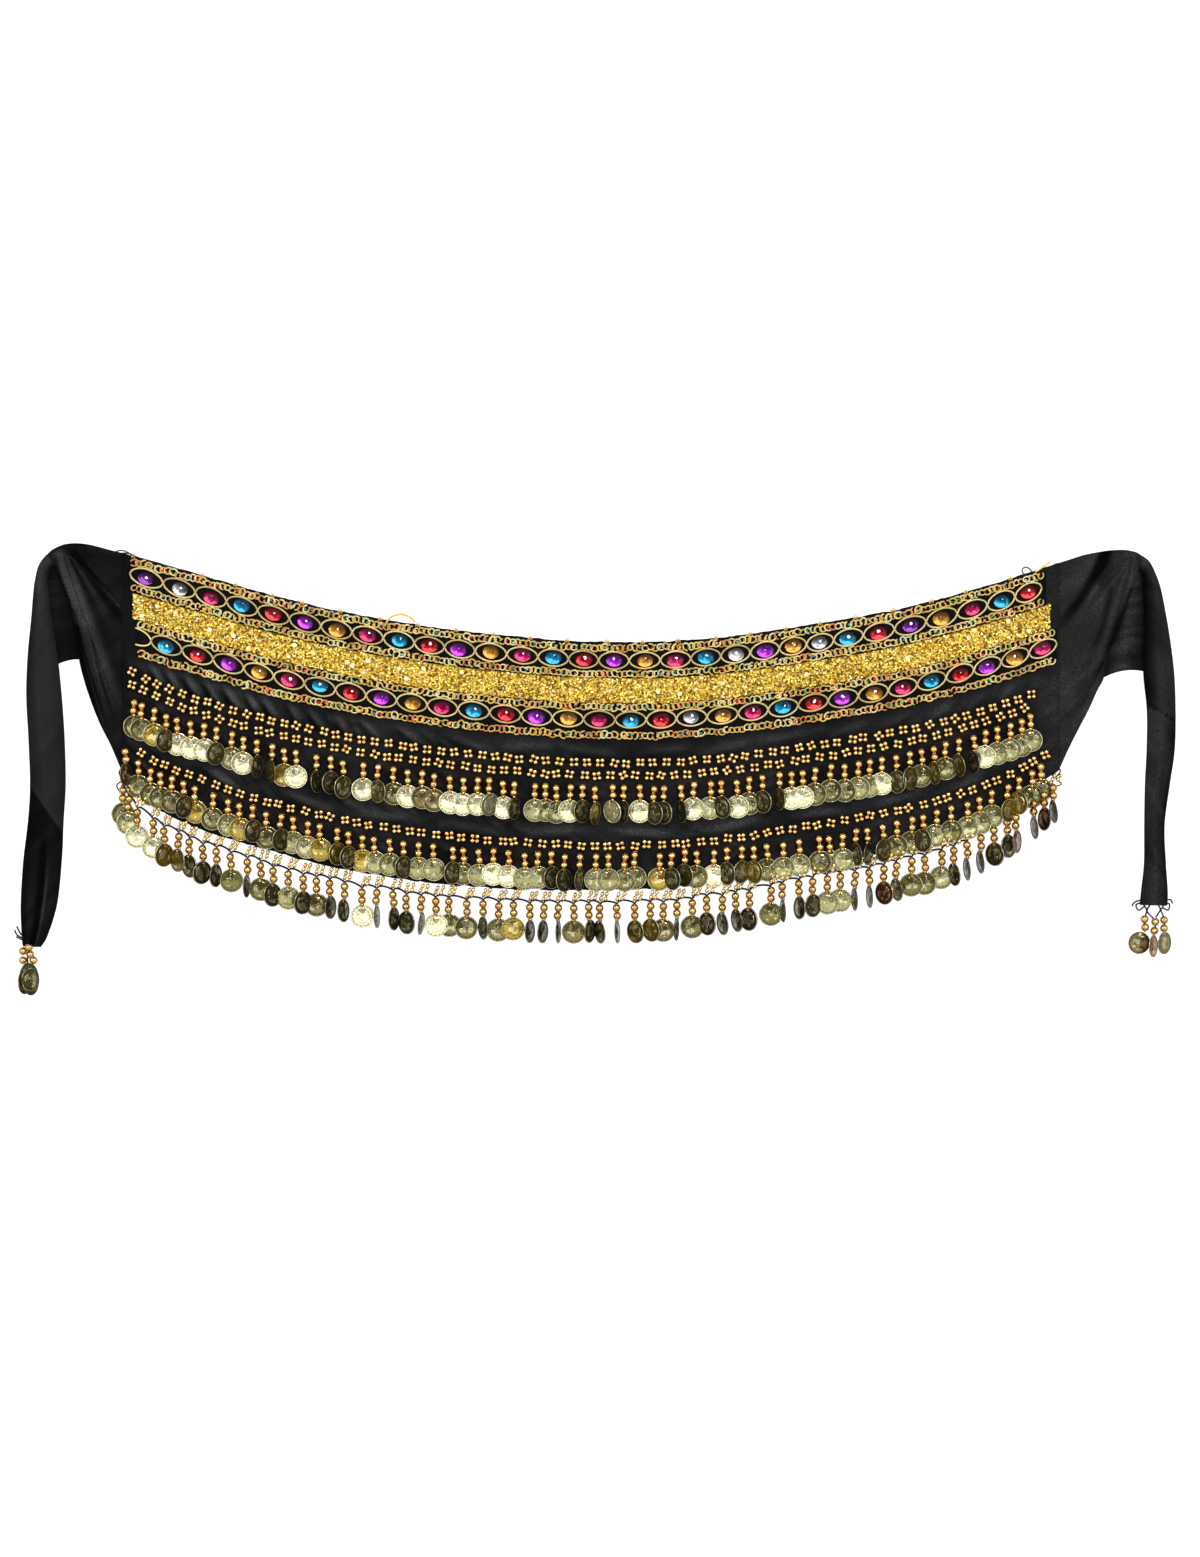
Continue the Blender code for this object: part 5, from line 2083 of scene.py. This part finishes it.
RIGHT_FOLDS = """
481 190 476.5 156 459 106 4.8 8
474 192 450 176 418 146 4 12
473.5 184 448 148 419 106 4.4 13
476 186 462 134 424 50 3.2 12
459 104 449 84 428 40 2.4 6
"""
RIGHT_CREASES = """
466 176 444 154 416 124 -2 4.6
474 172 466 142 450 104 -1.8 4
464 160 446 118 420 76 1.3 4.4
470 128 452 100 426 62 1 3.6
455 92 441 66 422 30 1.1 3.6
"""
RIGHT_PAINTED_SHEEN_AND_SHADE = """
457.2 198 441.9 158.9 408 121 -0.56 9
458 200 457 188 448 160 -0.4 15
480.6 192 476.1 157.8 468 116.6 0.16 5.5
480 160 467 127.4 451 84 -0.64 9
460.8 161.5 453.6 121.1 439.2 91.4 -0.3 8
451.8 91.4 436 68 414 34 -0.2 14
448.2 163.4 433.8 140 419.4 109.4 0.16 6
"""
# Sections of the back layers: a point on each side, and how far the line between bows up.
LEFT_BACK = """
-490.5 190 -486.5 190 0
-494 182 -483 182 0
-497 170 -477 171 0
-498.5 148 -466 149.5 0
-497 121 -461 124 1.5
-494 90.5 -459 98.5 4
"""
RIGHT_BACK = """
484 190.5 489 190.5 0
481 182.5 491.5 182.5 0
475 171 493.5 172 0
466 148.5 496 150 0
457 121.5 497 122.5 2
449 79.5 497 87 6
"""
# Sections of the ties: a point on the outer edge, one on the inner, their lift, the middle's rise.
LEFT_TIE = """
-495.3 193.1 -489.6 184.6 3.6 1
-502 184 -493.6 179.8 3.2 2.2
-505.8 170.6 -494.4 168.8 2.4 3
-507.7 155.3 -493.3 152.6 1.8 3.2
-509.4 134.6 -490.9 132.8 1.7 3
-512.4 103.1 -486.5 103.1 1.9 2.4
-513.9 67.1 -482.9 67.1 0.7 2.2
-512 26.6 -480.3 26.6 0 1.8
-510.6 -13.9 -479.4 -13.9 0 1.6
-512.4 -45.5 -481.2 -45.5 0 1.6
-516.8 -83.3 -482.7 -79.7 0 2
-519 -122 -486.9 -120.2 0 2.4
-518.1 -149 -495.5 -149 0 3.2
-517.3 -158.5 -501.3 -159.2 0 3.6
"""
LEFT_PLEATS = """
0.3 0.28 0.02 0.6 0.9 3 0.03
0.7 0.62 0.1 0.95 0.7 4 0
0.5 0.5 0.72 1.1 -1.4 2.8 -0.3
0.64 0.66 0.76 1.1 1.1 1.3 0.3
0.15 0.2 0.75 1.1 0.8 1.8 0
0.85 0.8 0.78 1.1 0.9 1.8 0
0 0 -0.1 0.24 0 9 0.3
1 1 -0.1 0.2 0 7 -0.15
"""
RIGHT_TIE = """
488.4 192.2 486.2 182 3.6 1
495.4 186.6 488.6 176.6 3.2 2.2
500.8 176.5 490 167.5 2.4 3
505.6 163 490.9 155.5 1.8 3.2
510 141.5 491.4 136.6 1.7 3
514.4 114.8 491.2 112.5 1.8 2.6
517.9 85 490.8 85.6 1.7 2.4
519.3 51.8 494.2 53.2 0 2.6
518.5 17.6 494.1 19.2 0 2.2
514 -14 492.5 -14 0 2
509.4 -50 491.9 -50 0 2
510.5 -83.3 491.7 -83.3 0 2.2
512.2 -108.5 489.3 -107 0 2.2
512 -122 487.8 -121.4 0 2
"""
RIGHT_PLEATS = """
0.45 0.3 0 0.34 1.2 3 0
0.5 0.6 0.4 1.1 0.8 3.2 0
0.2 0.28 0.6 1.1 0.7 2 0
0.5 0.5 -0.1 0.1 0 14 0.3
0.5 0.5 0.36 0.6 0 6 0.12
1 1 0.75 1.1 0 7 -0.12
"""


UPPER_TRIM = GemTrim(
    name="gem_trim_upper", ends=(-421.5, 402.5), depths=(2.7, 31.2), braids=(4.9, 28.2), ring_depth=16.3,
    places="""
-406 -376 -348 -320 -292 -263 -235 -207 -179 -151 -125 -96 -68 -40 -13 14 42 70 97 124 150 176 199 225 252 281 309 337
363 387
""",
    stones="VspbrvapbrvapbrvapbwvasbrVapbr", open_ring=False, seed=101,
)
LOWER_TRIM = GemTrim(
    name="gem_trim_lower", ends=(-415.0, 412.5), depths=(55.8, 86.8), braids=(58.2, 83.6), ring_depth=69.6,
    places="""
-388 -360 -332 -305 -278 -250 -222 -195 -167 -140 -112 -83 -55 -27 1 30 57 84 112 140 166 194 220 248 274 300 326 350
375 400
""",
    stones="brvapbrvapbrvapbrsapbrvapbrvap", open_ring=True, seed=131,
)
ROW_1_LIFTS = ((-424.0, -367.0), (5.4, 0.0))
ROW_2_LIFTS = ((-424.0, -367.0), (5.0, 0.0))
ROW_3_LIFTS = ((-420.0, -355.0, -320.0, -130.0, 0.0), (6.3, 5.0, 3.0, 1.2, 0.0))
MIDDLE_LIFTS = (
    (-424.0, -362.0, -300.0, -200.0, 90.0, 152.0, 210.0, 260.0, 400.0),
    (4.5, 4.5, 2.0, 0.0, 0.0, -4.0, -5.0, -3.0, -3.0),
)
UPPER_FRINGE = CoinFringe(
    name="upper", depth=131.5,
    places="""
-417 -410 -399 -388 -378 -366 -354 -343 -329 -319 -306 -293 -282 -271 -253 -240 -229 -211 -198 -184 -171 -158 -147
-133 -121 -108 -98 -85 -75 -57 -47 -37 -25 -14 -3 13 23 38 50 59 75 86 101 111 125 136 148 163 174 184 195 209 222 234
244 255 268 280 291 302 312 324 338 348 359 370 381 389
""",
    turns="ffftffftffnnffnttftffffffftfnfffftntnfttnfftfftnffffffffttfnfnnfffff",
    lustres="ooadbbbombdaabddobdobddbbbbbdmoobdabdbdddbmobodabbooommbddoaoadbmmom", rests=1.8, seed=301,
)
MIDDLE_FRINGE = CoinFringe(
    name="middle", depth=192.6,
    places="""
-424 -413 -402 -393 -383 -372 -362 -346 -332 -322 -310 -298 -285 -274 -261 -250 -234 -224 -212 -201 -187 -175 -161
-148 -130 -121 -107 -94 -80 -66 -54 -42 -30 -16 -2 9 24 33 55 66 78 89 104 116 129 140 152 167 181 199 208 220 232 242
256 269 282 292 304 317 332 343 354 368 378 390 398
""",
    turns="nfffftfffftftfffttffftfftffffffttnfffffttfftttffffffnntfftfffffttff",
    lustres="doooddadmaddommaadammdmmoombbmmdodmmooaddobdoaommddmdddoodmommmaaoo", rests=1.8, seed=302, reach=20.6,
    lifts=MIDDLE_LIFTS,
)
HEM_FRINGE = CoinFringe(
    name="hem", depth=238.5,
    places="""
-427 -422 -414 -400 -390 -377 -367 -355 -343 -330 -315 -303 -292 -278 -265 -253 -241 -228 -212 -199 -184 -172 -159
-146 -134 -118 -103 -89 -76 -61 -49 -36 -22 -8 2 17 33 47 59 71 85 98 112 124 136 155 166 181 193 206 218 231 244 257
268 282 294 309 320 332 344 356 368 376 392 401 409
""",
    turns="ffffttttnfeftftfnnfentefffnffnnefnnettfeftnntfentffeetnfffneettnene",
    lustres="ombbaaodoomodmoddobddombooooadoddaodaaddoddddooddmmodraoomdodddrorm", rests=0.2, seed=303,
    bead_brightness=0.55, turn_dimming=1.0,
)
LEFT_TASSEL = Tassel(
    name="tassel_left",
    beads="""
-511.2 -159.8 6.2
-517 -163.2 4.2
-510.3 -166.3 4.2
-517 -171.6 4
-507.3 -171.6 4
""",
    coins="""
-513.4 -187.6 8.4 -4 52
-509.6 -188.6 8.2 6 46
""",
    lustres="do",
    threads="""
-512 -155 2.5  -511 -161 3  -513 -170 3  -512 -178 3.4
-515.5 -151 2  -520 -147 1.2  -523 -141 0.8
-517 -152 2  -522.5 -149 1.2  -525 -144.5 0.7
-514.5 -154 2.2  -518.5 -153 1.4  -523.5 -150.5 0.7
""",
    coin_radius=9.6, long_coins=1.5,
)
RIGHT_TASSEL = Tassel(
    name="tassel_right",
    beads="""
491.2 -134.6 4
491.8 -141.8 4
500.9 -136.9 4
500.1 -144.9 4
508.9 -135.2 4
508.9 -142.7 4
""",
    coins="""
486.6 -155.8 2.6 -4 8
498.2 -158.6 9 3 60
508.4 -155.8 7.8 2 46
""",
    lustres="ord",
    threads="""
490.5 -121 2.6  493.5 -127 2.2  491.2 -134.6 3.6  491.8 -146 3.2
497 -121 2.6  494 -127.5 2.2  500.9 -136.9 3.6  499.5 -150 3.4
503.5 -121 2.6  506.5 -127 2.2  508.9 -135.2 3.6  508.6 -147 3.2
509.5 -121 2.6  506 -126.5 2.2  501.5 -133 2.6
488.5 -119.5 2.4  484 -122 1.6  486.5 -126.5 1.4  491.5 -123 2.2
487.5 -117.5 2.4  482.5 -119.5 1.4  480.5 -123 1.2
508.5 -119.5 2.4  514 -121 1.5  513 -126.5 1.2  508 -124.5 2
510.5 -117.5 2.4  515 -117 1.4  517 -120.5 1.2
""",
)
SCARF = (
    Crescent(), EndPanel("left", LEFT_PANEL, LEFT_FOLDS, LEFT_CREASES, LEFT_PAINTED_SHEEN_AND_SHADE, tone=0.24, hem=0.0),
    EndPanel("right", RIGHT_PANEL, RIGHT_FOLDS, RIGHT_CREASES, RIGHT_PAINTED_SHEEN_AND_SHADE, tone=0.6, hem=4.0),
    BackLayer("left", LEFT_BACK, shading_across=(0.24, 0.2, 0.03)), BackLayer("right", RIGHT_BACK, shading_across=(0.12, 0.55, 0.0)),
    Tie("left", LEFT_TIE, LEFT_PLEATS, (0.4, 0.57, 0.38), (0.14, 0.19, 0.17), -17.0, -58.0, back=1.0, seed=41),
    Tie("right", RIGHT_TIE, RIGHT_PLEATS, (0.41, 0.26, 0.05), (0.16, 0.42, 0.48), 44.5, 59.0, back=0.35, seed=47),
    UPPER_TRIM,
    LOWER_TRIM, SequinBand(), BeadRow("bead_row_1", (-423.5, 394.0), 108.5, 201, ROW_1_LIFTS),
    BeadRow("bead_row_2", (-423.5, 388.0), 119.8, 202, ROW_2_LIFTS),
    BeadRow("bead_row_3", (-415.0, 406.5), 183.0, 203, ROW_3_LIFTS), UPPER_FRINGE, MIDDLE_FRINGE, HEM_FRINGE,
    HemNet(HEM_FRINGE), WaistStitches(), LEFT_TASSEL, RIGHT_TASSEL,
)


def main() -> None:
    """Builds the studio and the scarf in order."""
    logging.basicConfig(level=logging.INFO, format="%(name)s: %(message)s")
    for part in (Studio(), *SCARF):
        part.build()


if __name__ == "__main__":
    main()
